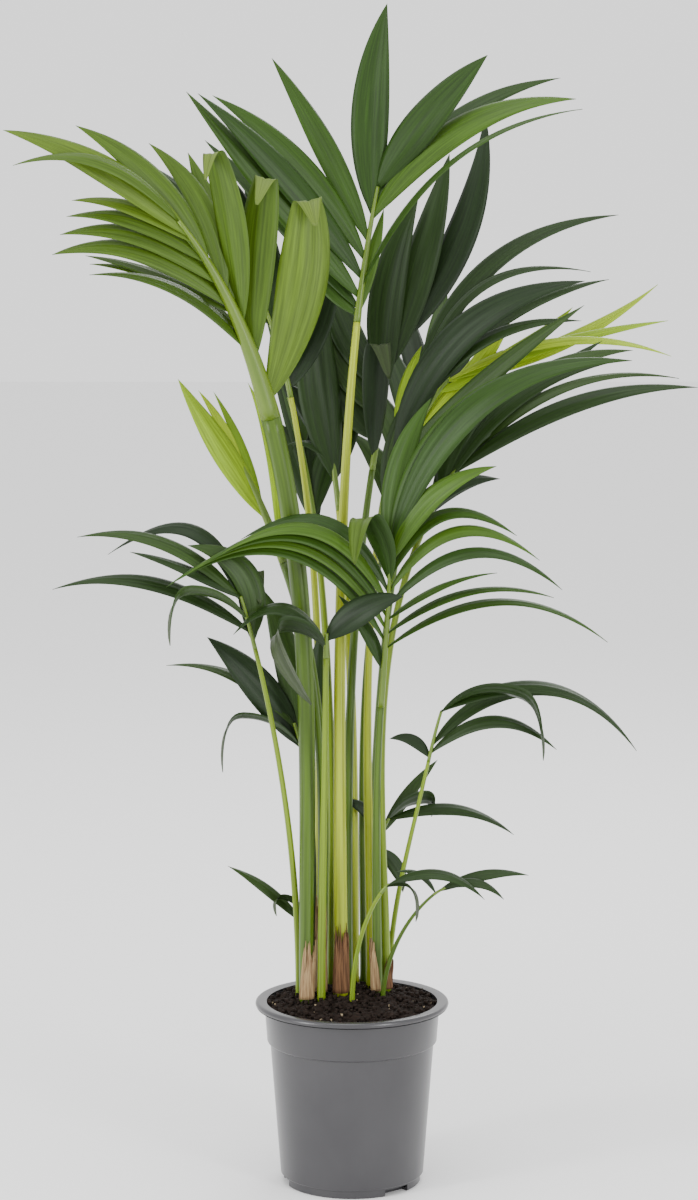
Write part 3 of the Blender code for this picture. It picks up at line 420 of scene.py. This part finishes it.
def tube(points, headings, radii, sides):
    """Points and faces of a closed tube through the points, each ring square to its heading."""
    verts, faces = [], []
    across = Vector((1, 0, 0))
    for point, along, radius in zip(points, headings, radii):
        across = (across - along * across.dot(along)).normalized()
        other = along.cross(across)
        for side in range(sides):
            angle = math.tau * side / sides
            verts.append(point + (across * math.cos(angle) + other * math.sin(angle)) * radius)
    for ring in range(len(points) - 1):
        for side in range(sides):
            here, there = ring * sides + side, ring * sides + (side + 1) % sides
            faces.append((here, there, there + sides, here + sides))
    faces.append(tuple(reversed(range(sides))))
    faces.append(tuple(range(len(verts) - sides, len(verts))))
    return verts, faces


def inner_radius(height):
    """The pot's inner wall at a height above its foot."""
    if height <= SHOULDER:
        share = (height - FOOT_HEIGHT) / (SHOULDER - FOOT_HEIGHT)
        return BODY_FOOT_RADIUS + (BODY_TOP_RADIUS - BODY_FOOT_RADIUS) * share - WALL
    share = (height - SHOULDER) / COLLAR_HEIGHT
    return COLLAR_RADIUS + (COLLAR_TOP_RADIUS - COLLAR_RADIUS) * share - WALL


def lathe(profile, sides):
    """A closed solid of revolution. The profile starts and ends on the axis."""
    solid = bmesh.new()
    rings = []
    for radius, height in profile:
        if radius == 0:
            rings.append([solid.verts.new((0, 0, height))] * sides)
            continue
        ring = []
        for side in range(sides):
            angle = math.tau * side / sides
            ring.append(solid.verts.new((radius * math.cos(angle), radius * math.sin(angle), height)))
        rings.append(ring)
    for lower, upper in zip(rings, rings[1:]):
        for side in range(sides):
            nearby = (side + 1) % sides
            corners = dict.fromkeys((lower[side], lower[nearby], upper[nearby], upper[side]))
            solid.faces.new(tuple(corners))
    return solid


def soil_height(radius):
    """The heap without its bumps."""
    share = min(radius / inner_radius(SOIL_EDGE), 1.0)
    return SOIL_EDGE + SOIL_HEAP * (1 - share**2)


def stem_foot(frond):
    x, y = frond.foot
    return Vector((x, y, soil_height(math.hypot(x, y)) - SOIL_BUMP - POCKET_DEPTH))


def stem_point(frond, share):
    """A stem rises straight from its foot and ends in line with the rachis."""
    foot, base = stem_foot(frond), Vector(frond.base)
    height = (base - foot).length
    start = foot + UP * height / 3
    end = base - (Vector(frond.crook) - base).normalized() * height / 3
    first = bezier(foot, start, end, share)
    return first * (1 - share) + bezier(start, end, base, share) * share


def heading(place, frond, share):
    """The direction of a frond's stem or rachis, whose points place gives, at a share of its length."""
    after, before = min(share + STEP, 1), max(share - STEP, 0)
    return (place(frond, after) - place(frond, before)).normalized()


def stem_line(frond, rings):
    """The stem's points, headings and radii, from its foot to just short of the rachis."""
    shares = [ring / (rings - 1) for ring in range(rings)]
    points = [stem_point(frond, share) for share in shares]
    headings = [heading(stem_point, frond, share) for share in shares]
    headings[-1] = heading(rachis_point, frond, 0)
    points[-1] = points[-1] - headings[-1] * GAP
    return points, headings, [between(frond.radii[:2], share) for share in shares]


def rachis_point(frond, share):
    return bezier(Vector(frond.base), Vector(frond.crook), Vector(frond.tip), share)


def rachis_line(frond, rings):
    shares = [ring / (rings - 1) for ring in range(rings)]
    points = [rachis_point(frond, share) for share in shares]
    headings = [heading(rachis_point, frond, share) for share in shares]
    return points, headings, [between(frond.radii[1:], share) for share in shares]


def leaf_bow(root, leaf):
    """The end of a leaflet's bow, and the control point of the bow."""
    bearing = math.radians(leaf.bearing)
    side = 1 if math.cos(bearing) >= 0 else -1
    toward = Vector((math.cos(bearing), -math.tan(math.radians(leaf.lean)), math.sin(bearing)))
    upward = Vector((-math.sin(bearing), 0, math.cos(bearing))) * side
    return root + toward * leaf.reach, root + (toward * LEAF_BEND + upward * leaf.bow) * leaf.reach


def leaf_fold(root, leaf):
    """From a creased leaflet's crease, the way to the top of its fold and the way to its tip."""
    end, control = leaf_bow(root, leaf)
    drop = abs(leaf.hang)
    falling = Vector((leaf.hang * FOLD_DRIFT, -drop * FOLD_OUT - FOLD_STAND, -drop * FOLD_FALL))
    return (end - control).normalized() * (drop * FOLD_RISE + FOLD_STAND), falling


def leaf_place(root, leaf, share):
    """The point at that share of a leaflet's length. Its line is a bow, and the end past a crease hangs."""
    end, control = leaf_bow(root, leaf)
    crease = crease_share(leaf)
    if share <= crease:
        return bezier(root, control, end, share / crease)
    rising, falling = leaf_fold(root, leaf)
    return bezier(end, end + rising, end + falling, (share - crease) / (1 - crease))


def crease_share(leaf):
    """Where along its length a leaflet folds over, or 1 if it doesn't."""
    return leaf.reach / (leaf.reach + abs(leaf.hang))


def leaf_width(leaf, share):
    """A lance shape, blunter where its tip is folded over."""
    fall = CREASED_TIP_SHARE if leaf.hang else TIP_SHARE
    widest = LEAF_RISE / (LEAF_RISE + fall)
    full = widest**LEAF_RISE * (1 - widest) ** fall
    shape = share**LEAF_RISE * (1 - share) ** fall / full
    return leaf.width * max(shape, LEAF_ROOT * (1 - share))


def leaf_heading(root, leaf, share):
    after = leaf_place(root, leaf, min(share + LEAF_STEP, 1))
    return (after - leaf_place(root, leaf, share - LEAF_STEP)).normalized()


def leaf_across(root, leaf, share, along):
    """The direction across the blade. A creased one is flat all along, so that it folds about one line."""
    if leaf.hang:
        rising, falling = leaf_fold(root, leaf)
        fold = falling.cross(rising)
        return fold if fold.cross(rising).y < 0 else -fold
    facing = along.cross(Vector((0, -1, 0))).normalized()
    level = (leaf_place(root, leaf, 0.5) - root).cross(UP)
    level = (level - along * level.dot(along)).normalized()
    turn = math.radians(90) * (leaf.turn + TIP_TURN * share)
    return facing * math.cos(turn) + level * math.sin(turn)


def leaf_frame(root, leaf, share):
    """The point there, the direction across the blade and the direction out of its upper face."""
    along = leaf_heading(root, leaf, share)
    across = leaf_across(root, leaf, share, along)
    across = (across - along * across.dot(along)).normalized()
    return leaf_place(root, leaf, share), across, across.cross(along)


def leaf_rings(leaf, rings=LEAF_RINGS):
    """The rings' places. A creased leaflet has more of them, past its crease."""
    crease = crease_share(leaf)
    shares = [share * crease for share in rings]
    if leaf.hang:
        shares += [crease + (1 - crease) * share for share in FOLD_RINGS]
    return shares


def leaf_shape(root, leaf, rings=LEAF_RINGS, extra=0.0):
    """Points and faces of a leaflet: a flat rhombus at each ring and a point at the tip."""
    rings = leaf_rings(leaf, rings)
    thickness = max((leaf.reach + abs(leaf.hang)) * LEAF_THICKNESS, LEAF_LEAST) / 2 + extra
    verts, faces = [], []
    for share in rings:
        point, across, out = leaf_frame(root, leaf, share)
        half = leaf_width(leaf, share) / 2 + extra
        depth = min(thickness, half)
        verts += [point + across * half, point + out * depth, point - across * half, point - out * depth]
    verts.append(leaf_place(root, leaf, 1.0))
    for ring in range(len(rings) - 1):
        for corner in range(4):
            here, there = ring * 4 + corner, ring * 4 + (corner + 1) % 4
            faces.append((here, here + 4, there + 4, there))
    last = len(rings) * 4 - 4
    faces += [(last + corner, len(verts) - 1, last + (corner + 1) % 4) for corner in range(4)]
    faces.append((0, 1, 2, 3))
    return verts, faces


def leaves_of(frond):
    """Each leaflet of a frond, with its own values, and its root on the rachis."""
    for run in frond.runs:
        for index in range(run.count):
            share = index / max(run.count - 1, 1)
            leaf = run._replace(**{field: between(getattr(run, field), share) for field in run._fields[1:]})
            yield rachis_point(frond, leaf.at), leaf


def tree_of(shape):
    return BVHTree.FromPolygons(*shape)


def grow_leaves():
    """Every frond's leaflets. One that would touch a limb or a leaflet swings aside, or is left out."""
    limbs = []
    for name, frond in FRONDS.items():
        limbs.append(("", tree_of(tube(*stem_line(frond, STEM_RINGS), STEM_SIDES))))
        limbs.append((name, tree_of(tube(*rachis_line(frond, RACHIS_RINGS), RACHIS_SIDES))))
    grown = {name: [] for name in FRONDS}
    taken = []
    for name, frond in FRONDS.items():
        for root, leaf in leaves_of(frond):
            for swing in SWINGS:
                swung = leaf._replace(lean=leaf.lean + swing)
                whole = tree_of(leaf_shape(root, swung, extra=LEAF_CLEAR))
                free = tree_of(leaf_shape(root, swung, LEAF_RINGS[2:], LEAF_CLEAR))
                if not touches(name, whole, free, limbs, taken):
                    grown[name].append((root, swung))
                    taken.append((name, whole, free))
                    break
    return grown


def touches(name, whole, free, limbs, taken):
    """Whether a leaflet meets a limb other than its rachis, or a leaflet. Roots on one rachis may meet."""
    if any(owner != name and whole.overlap(limb) for owner, limb in limbs):
        return True
    for owner, near_whole, near_free in taken:
        if free.overlap(near_free) if owner == name else whole.overlap(near_whole):
            return True
    return False


def stem_at_height(frond, foot, height):
    """The stem's middle and radius where it passes a height, near its foot."""
    points, _, radii = stem_line(frond, FINE_RINGS)
    for index in range(len(points) - 1):
        if points[index + 1].z >= height:
            return points[index + 1], radii[index + 1]
    return foot, frond.radii[0]


def add_object(name, data):
    made = bpy.data.objects.new(name, data)
    bpy.context.scene.collection.objects.link(made)
    return made


def finish(name, light, dark, look):
    """A finish mottled from dark to light by noise, stretched over the mesh's own coordinates."""
    made = bpy.data.materials.new(name)
    made.use_nodes = True
    nodes, links = made.node_tree.nodes, made.node_tree.links
    shader = nodes["Principled BSDF"]
    shader.inputs["Roughness"].default_value = look.roughness
    shader.inputs["Specular IOR Level"].default_value = look.specular
    shader.inputs["Coat Weight"].default_value = look.coat
    shader.inputs["Coat Roughness"].default_value = COAT_ROUGHNESS
    place = nodes.new("ShaderNodeUVMap")
    spread = nodes.new("ShaderNodeMapping")
    spread.inputs["Scale"].default_value = look.stretch
    grain = nodes.new("ShaderNodeTexNoise")
    grain.inputs["Scale"].default_value = 1.0
    grain.inputs["Detail"].default_value = NOISE_DETAIL
    grain.inputs["Roughness"].default_value = NOISE_ROUGHNESS
    ramp = nodes.new("ShaderNodeValToRGB")
    low, high = ramp.color_ramp.elements
    low.position, low.color = DARK_UP_TO, (*dark, 1)
    high.position, high.color = LIGHT_FROM, (*light, 1)
    relief = nodes.new("ShaderNodeBump")
    relief.inputs["Strength"].default_value = look.relief
    relief.inputs["Distance"].default_value = RELIEF_DEPTH
    links.new(place.outputs["UV"], spread.inputs["Vector"])
    links.new(spread.outputs["Vector"], grain.inputs["Vector"])
    links.new(grain.outputs["Fac"], ramp.inputs["Fac"])
    links.new(ramp.outputs["Color"], shader.inputs["Base Color"])
    links.new(grain.outputs["Fac"], relief.inputs["Height"])
    links.new(relief.outputs["Normal"], shader.inputs["Normal"])
    return made


def shade_of(colour, factor):
    return tuple(part * factor for part in colour)


def finishes_of(name, colours, lightest, darkest, look):
    """A finish for each of a table's colours."""
    made = []
    for index, colour in enumerate(colours):
        made.append(finish(f"{name}_{index}", shade_of(colour, lightest), shade_of(colour, darkest), look))
    return made


class Shape:
    """A mesh in the making: points, faces, and each face's UVs and finish."""

    def __init__(self):
        self.points, self.faces, self.uvs, self.slots = [], [], [], []

    def grid(self, rows, uvs, slot, closed=False):
        """Faces between rows of points. closed joins each row's last point to its first."""
        start = len(self.points)
        width = len(rows[0])
        for row in rows:
            self.points += row
        for row in range(len(rows) - 1):
            for column in range(width if closed else width - 1):
                after = (column + 1) % width
                here, there = start + row * width, start + (row + 1) * width
                self.faces.append((here + column, here + after, there + after, there + column))
                (u, v), (next_u, next_v) = uvs(row, column), uvs(row + 1, column + 1)
                self.uvs.append(((u, v), (next_u, v), (next_u, next_v), (u, next_v)))
                self.slots.append(slot)
        return start

    def cap(self, corners, slot):
        self.faces.append(tuple(corners))
        self.uvs.append(((0.5, 0.5),) * len(self.faces[-1]))
        self.slots.append(slot)

    def close_sides(self, front, back, rows, columns, slot):
        """Faces along both sides of two like grids, the back one mirrored."""
        for row in range(rows - 1):
            for edge in (0, columns - 1):
                near, far = front + row * columns + edge, front + (row + 1) * columns + edge
                behind = back + row * columns + columns - 1 - edge
                beyond = back + (row + 1) * columns + columns - 1 - edge
                self.cap((near, behind, beyond, far) if edge else (near, far, beyond, behind), slot)

    def make(self, name, finishes, replaced, slot):
        mesh = bpy.data.meshes.new(name)
        mesh.from_pydata(self.points, [], self.faces)
        layer = mesh.uv_layers.new(name="UVMap")
        layer.data.foreach_set("uv", [part for face in self.uvs for uv in face for part in uv])
        for made in finishes:
            mesh.materials.append(made)
        mesh.polygons.foreach_set("material_index", self.slots)
        mesh.shade_smooth()
        piece = add_object(name, mesh)
        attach(piece, "root")
        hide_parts(*replaced)


def add_tube(shape, points, headings, radii, sides, slot, ridge=0.0):
    """A closed round tube with shallow ridges along it."""
    across = Vector((1, 0, 0))
    rows = []
    for point, along, radius in zip(points, headings, radii):
        across = (across - along * across.dot(along)).normalized()
        other = along.cross(across)
        row = []
        for side in range(sides):
            angle = math.tau * side / sides
            size = radius * (1 + ridge * math.cos(RIDGES * angle))
            row.append(point + (across * math.cos(angle) + other * math.sin(angle)) * size)
        rows.append(row)
    length = (points[-1] - points[0]).length

    def uvs(row, column):
        return column / sides, row / len(rows) * length * STEM_GRAIN

    start = shape.grid(rows, uvs, slot, True)
    end = start + sides * (len(rows) - 1)
    shape.cap(reversed(range(start, start + sides)), slot)
    shape.cap(range(end, end + sides), slot)


def blade_shares(leaf):
    """The fine rings' places. A creased leaflet has more of them, past its crease."""
    crease = crease_share(leaf)
    shares = [crease * (index / BLADE_RINGS) for index in range(BLADE_RINGS)]
    if leaf.hang:
        shares += [crease + (1 - crease) * index / FOLD_STEPS for index in range(FOLD_STEPS)]
    return shares + [BLADE_END]


def add_blade(shape, root, leaf, shade, chance):
    """A thin closed leaf blade, keeled along its midrib and faintly ribbed."""
    phase = chance.uniform(0, math.tau)
    wave = chance.uniform(WAVE_LEAST, 1.0)
    shares = blade_shares(leaf)
    upper, lower = [], []
    for share in shares:
        point, across, out = leaf_frame(root, leaf, share)
        half = leaf_width(leaf, share) / 2
        over, under = [], []
        for column in range(BLADE_COLUMNS):
            place = 2 * column / (BLADE_COLUMNS - 1) - 1
            rise = -KEEL * abs(place) + RIPPLE * math.cos(RIPPLES * math.pi * place)
            rise += WAVE * wave * place * math.sin(WAVE_RATE * share + phase) * share
            spot = point + across * (half * place) + out * (half * rise)
            thick = BLADE_THICKNESS / 2 * (1 - place**2) + BLADE_EDGE
            over.append(spot + out * thick)
            under.append(spot - out * thick)
        upper.append(over)
        lower.append(under[::-1])
    shift = chance.uniform(0, BLADE_SHIFT)

    def uvs(row, column):
        along = shares[min(row, len(shares) - 1)] * leaf.reach * BLADE_GRAIN
        return shift + column / (BLADE_COLUMNS - 1), shift + along

    top = shape.grid(upper, uvs, shade)
    bottom = shape.grid(lower, uvs, UNDERSIDE)
    shape.close_sides(top, bottom, len(shares), BLADE_COLUMNS, shade)
    for row in (0, len(shares) - 1):
        firsts = (top + row * BLADE_COLUMNS, bottom + row * BLADE_COLUMNS)
        line = [first + column for first in firsts for column in range(BLADE_COLUMNS)]
        shape.cap(line if row else line[::-1], shade)


def dress_fronds():
    """Each frond again, of fine blades on a round rib."""
    chance = random.Random(SEED)
    finishes = {}
    # Leaf finishes for each tone, their painted light and shade included.
    for tone, colours in LEAF_COLOURS_AND_PAINTED_LIGHT.items():
        finishes[tone] = finishes_of(f"leaf_{tone}", colours, LEAF_LIGHTEST, LEAF_DARKEST, LEAF_LOOK)
    rib = finish("rib", STEM_COLOURS[0], STEM_COLOURS[2], RIB_LOOK)
    grown = grow_leaves()
    for name, frond in FRONDS.items():
        shape = Shape()
        points, headings, radii = rachis_line(frond, FINE_RACHIS_RINGS)
        radii = [radius * RACHIS_SWELL for radius in radii]
        add_tube(shape, points, headings, radii, FINE_RACHIS_SIDES, RIB)
        for root, leaf in grown[name]:
            add_blade(shape, root, leaf, chance.choice(BLADE_SHADES), chance)
        shape.make("blades_" + name, finishes[frond.tone] + [rib], ["frond_" + name], frond.tone)


def dress_stems():
    """Each stem again, round and ridged, in one of the stems' shades."""
    chance = random.Random(SEED)
    finishes = finishes_of("stem", STEM_COLOURS, STEM_LIGHTEST, STEM_DARKEST, STEM_LOOK)
    for name, frond in FRONDS.items():
        shape = Shape()
        shade = chance.choice(TALL_SHADES if frond.base[2] > TALL_BASE else LOW_SHADES)
        points, headings, radii = stem_line(frond, FINE_STEM_RINGS)
        add_tube(shape, points, headings, radii, FINE_STEM_SIDES, 0, RIDGE)
        shape.make("stalk_" + name, [finishes[shade]], ["stem_" + name], "stem")


def sheath_wall(name, height, facing, skin):
    """Rows of points of a sheath's inner face, or of the face that lies skin further out."""
    frond = FRONDS[name]
    foot = stem_foot(frond)
    start = soil_height(math.hypot(*frond.foot)) + 2 * SOIL_BUMP
    chance = random.Random(name)
    jags = [chance.uniform(SHEATH_JAG, 1.0) for _ in range(PAPER_COLUMNS)]
    wall = []
    for row in range(PAPER_ROWS):
        up = row / (PAPER_ROWS - 1)
        line = []
        for column, jag in enumerate(jags):
            rise = start + height * (1 - (1 - jag) * up) * up
            middle, radius = stem_at_height(frond, foot, rise)
            turn = SHEATH_SPAN * (1 - up / 2) * (column / (PAPER_COLUMNS - 1) - 1 / 2)
            angle = math.radians(facing + turn)
            waver = noise(Vector((column * FLARE_ACROSS, up * FLARE_UP, FLARE_SEED)))
            flare = PAPER_FLARE * up * up * (1 + waver)
            out = Vector((math.cos(angle), math.sin(angle), 0)) * (radius + SHEATH_GAP + skin + flare)
            line.append(Vector((middle.x + out.x, middle.y + out.y, rise)))
        wall.append(line)
    return wall


def paper_uv(row, column):
    return column / PAPER_COLUMNS, row / PAPER_ROWS


def dress_sheaths():
    """Each sheath again, thin, flared and ragged."""
    finishes = {
        "straw": finish("straw_paper", STRAW, STRAW_DARK, STRAW_LOOK),
        "husk": finish("husk_paper", HUSK, HUSK_DARK, HUSK_LOOK),
    }
    for name, (height, facing, kind) in SHEATHS.items():
        shape = Shape()
        inner = sheath_wall(name, height, facing, 0)
        inside = shape.grid([line[::-1] for line in inner], paper_uv, 0)
        outside = shape.grid(sheath_wall(name, height, facing, SHEATH_WALL), paper_uv, 0)
        shape.close_sides(outside, inside, PAPER_ROWS, PAPER_COLUMNS, 0)
        for row in (0, PAPER_ROWS - 1):
            for column in range(PAPER_COLUMNS - 1):
                near = outside + row * PAPER_COLUMNS + column
                behind = inside + row * PAPER_COLUMNS + PAPER_COLUMNS - 1 - column
                ring = (near, near + 1, behind - 1, behind)
                shape.cap(ring if row else (near, behind, behind - 1, near + 1), 0)
        shape.make("paper_" + name, [finishes[kind]], ["sheath_" + name], kind)


def heap_uv(row, column):
    return column / HEAP_SIDES, row / HEAP_RINGS


def dress_soil():
    """The heap, its crumbs and a few pale specks, as one piece."""
    chance = random.Random(SEED)
    earth = finish("earth", SOIL_BROWN, SOIL_BLACK, EARTH_LOOK)
    speck = finish("speck", SPECK_COLOUR, shade_of(SPECK_COLOUR, SPECK_DARKEST), SPECK_LOOK)
    edge = inner_radius(SOIL_EDGE) - GAP
    rows = []
    for ring in range(HEAP_RINGS, 0, -1):
        row = []
        for side in range(HEAP_SIDES):
            angle = math.tau * side / HEAP_SIDES
            radius = edge * ring / HEAP_RINGS
            spot = Vector((radius * math.cos(angle), radius * math.sin(angle), 0))
            lump = sum(size * noise(spot * fineness) for size, fineness in HEAP_LUMPS)
            lump *= min(1, LUMPS_RISE * (1 - ring / HEAP_RINGS) + LUMPS_LEAST)
            spot.z = soil_height(radius) + lump
            row.append(spot)
        rows.append(row)
    foot = [Vector((spot.x, spot.y, SHOULDER + STEP_HEIGHT * 2)) for spot in rows[0]]
    shape = Shape()
    start = shape.grid([foot] + rows, heap_uv, 0, True)
    shape.cap(reversed(range(start, start + HEAP_SIDES)), 0)
    last = start + HEAP_SIDES * HEAP_RINGS
    shape.cap(range(last, last + HEAP_SIDES), 0)
    for index in range(CRUMBS + SPECKS):
        radius = edge * math.sqrt(chance.random()) * CRUMB_REACH
        angle = chance.uniform(0, math.tau)
        size = chance.uniform(*(CRUMB_SIZES if index < CRUMBS else SPECK_SIZES))
        middle = Vector((radius * math.cos(angle), radius * math.sin(angle), 0))
        middle.z = soil_height(radius) + chance.uniform(0.0, CRUMB_RISE)
        add_crumb(shape, middle, size, 0 if index < CRUMBS else 1, chance)
    shape.make("soil_heap", [earth, speck], ["soil"], "soil")


def add_crumb(shape, middle, size, slot, chance):
    """A lump with eight uneven corners."""
    start = len(shape.points)
    for corner in range(8):
        way = Vector((1 if corner & 1 else -1, 1 if corner & 2 else -1, 1 if corner & 4 else -1))
        shape.points.append(middle + way * size * chance.uniform(*CRUMB_CORNERS))
    for corners in ((0, 2, 3, 1), (4, 5, 7, 6), (0, 1, 5, 4), (2, 6, 7, 3), (0, 4, 6, 2), (1, 3, 7, 5)):
        shape.cap([start + corner for corner in corners], slot)


def pot_outline():
    """The fine pot's radii and heights, up its outside, over its lip and down its inside."""
    outline = [
        (0, 0),
        (FOOT_RADIUS - FOOT_EDGE, 0),
        (FOOT_RADIUS, FOOT_EDGE),
        (FOOT_RADIUS, FOOT_HEIGHT - STEP_EDGE),
        (BODY_FOOT_RADIUS - STEP_EDGE, FOOT_HEIGHT + STEP_SINK),
        (BODY_FOOT_RADIUS, FOOT_HEIGHT + RIM_EDGE),
        (BODY_TOP_RADIUS, SHOULDER - STEP_HEIGHT),
        (COLLAR_RADIUS - COLLAR_EDGE, SHOULDER - COLLAR_SINK),
        (COLLAR_RADIUS, SHOULDER + STEP_EDGE),
        (COLLAR_TOP_RADIUS, POT_HEIGHT - RIM_HEIGHT),
        (RIM_RADIUS - LIP_EDGE, POT_HEIGHT - RIM_HEIGHT),
    ]
    for step in range(LIP_STEPS + 1):
        angle = math.radians(-90 + 180 / LIP_STEPS * step)
        rise = POT_HEIGHT - LIP_RADIUS + LIP_RADIUS * math.sin(angle)
        outline.append((RIM_RADIUS - LIP_RADIUS + LIP_RADIUS * math.cos(angle), rise))
    return outline + [
        (inner_radius(POT_HEIGHT), POT_HEIGHT - LIP_EDGE),
        (inner_radius(SHOULDER), SHOULDER + STEP_HEIGHT / 2),
        (inner_radius(FILLET_HEIGHT), FILLET_HEIGHT),
        (FOOT_RADIUS - WALL, FOOT_HEIGHT),
        (FOOT_RADIUS - WALL, FLOOR),
        (0, FLOOR),
    ]


def dress_pot():
    """The pot again with a rounded lip, soft steps and its drainage notches."""
    solid = lathe(pot_outline(), FINE_POT_SIDES)
    bmesh.ops.recalc_face_normals(solid, faces=solid.faces)
    layer = solid.loops.layers.uv.new("UVMap")
    for face in solid.faces:
        for loop in face.loops:
            spot = loop.vert.co
            loop[layer].uv = (math.atan2(spot.y, spot.x), spot.z * POT_GRAIN)
    mesh = bpy.data.meshes.new("pot_body")
    solid.to_mesh(mesh)
    solid.free()
    mesh.materials.append(finish("pot_plastic", POT_GREY, POT_DARK, POT_LOOK))
    pot = add_object("pot_body", mesh)
    cut_notches(pot)
    pot.data.shade_smooth()
    pot.data.set_sharp_from_angle(angle=math.radians(SHARP_ANGLE))
    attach(pot, "root")
    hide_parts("pot")


def cut_notches(pot):
    """Cuts the drainage notches through the foot."""
    for index in range(NOTCHES):
        angle = math.radians(NOTCH_ANGLE) + math.tau * index / NOTCHES
        block = bmesh.new()
        bmesh.ops.create_cube(block, size=1)
        bmesh.ops.scale(block, verts=block.verts, vec=(NOTCH_DEPTH, NOTCH_WIDTH, 2 * NOTCH_HEIGHT))
        mesh = bpy.data.meshes.new("notch")
        block.to_mesh(mesh)
        block.free()
        cutter = add_object("notch", mesh)
        cutter.location = (FOOT_RADIUS * math.cos(angle), FOOT_RADIUS * math.sin(angle), 0)
        cutter.rotation_euler.z = angle
        change = pot.modifiers.new("notch", "BOOLEAN")
        change.operation = "DIFFERENCE"
        change.object = cutter
        bpy.context.view_layer.update()
        seen = pot.evaluated_get(bpy.context.evaluated_depsgraph_get())
        result = bpy.data.meshes.new_from_object(seen)
        pot.modifiers.clear()
        pot.data = result
        bpy.data.objects.remove(cutter, do_unlink=True)


def set_stage():
    """A plain pale floor under a soft white sky, with four soft lamps."""
    mesh = bpy.data.meshes.new("floor")
    corners = [(-FLOOR_REACH, -FLOOR_REACH, 0), (FLOOR_REACH, -FLOOR_REACH, 0)]
    corners += [(FLOOR_REACH, FLOOR_REACH, 0), (-FLOOR_REACH, FLOOR_REACH, 0)]
    mesh.from_pydata(corners, [], [(0, 1, 2, 3)])
    made = bpy.data.materials.new("floor")
    made.use_nodes = True
    shader = made.node_tree.nodes["Principled BSDF"]
    shader.inputs["Base Color"].default_value = (*FLOOR_COLOUR, 1)
    shader.inputs["Roughness"].default_value = FLOOR_ROUGHNESS
    mesh.materials.append(made)
    floor = add_object("floor", mesh)
    world = bpy.data.worlds.new("studio")
    world.use_nodes = True
    sky = world.node_tree.nodes["Background"]
    sky.inputs["Color"].default_value = (1, 1, 1, 1)
    sky.inputs["Strength"].default_value = WORLD_STRENGTH
    bpy.context.scene.world = world
    for name, (place, width, height, power) in LAMPS.items():
        add_lamp(name, place, width, height, power)


def add_lamp(name, place, width, height, power):
    light = bpy.data.lights.new(name, "AREA")
    light.shape = "RECTANGLE"
    light.size, light.size_y = width, height
    light.energy = power
    lamp = add_object(name, light)
    lamp.location = place
    lamp.rotation_euler = (LAMPS_AIM - Vector(place)).to_track_quat("-Z", "Y").to_euler()


def set_camera():
    data = bpy.data.cameras.new("camera")
    data.sensor_fit = "VERTICAL"
    data.sensor_height = SENSOR
    data.lens = FOCAL_PIXELS / PHOTO_HEIGHT * SENSOR
    data.shift_x = (PHOTO_WIDTH / 2 - MIDDLE_PIXEL) / PHOTO_HEIGHT
    camera = add_object("camera", data)
    camera.location = CAMERA_PLACE
    camera.rotation_euler = (math.radians(90 - CAMERA_TILT), 0, 0)
    bpy.context.scene.camera = camera


def main():
    set_camera()
    set_stage()
    dress_pot()
    dress_soil()
    dress_stems()
    dress_sheaths()
    dress_fronds()


main()
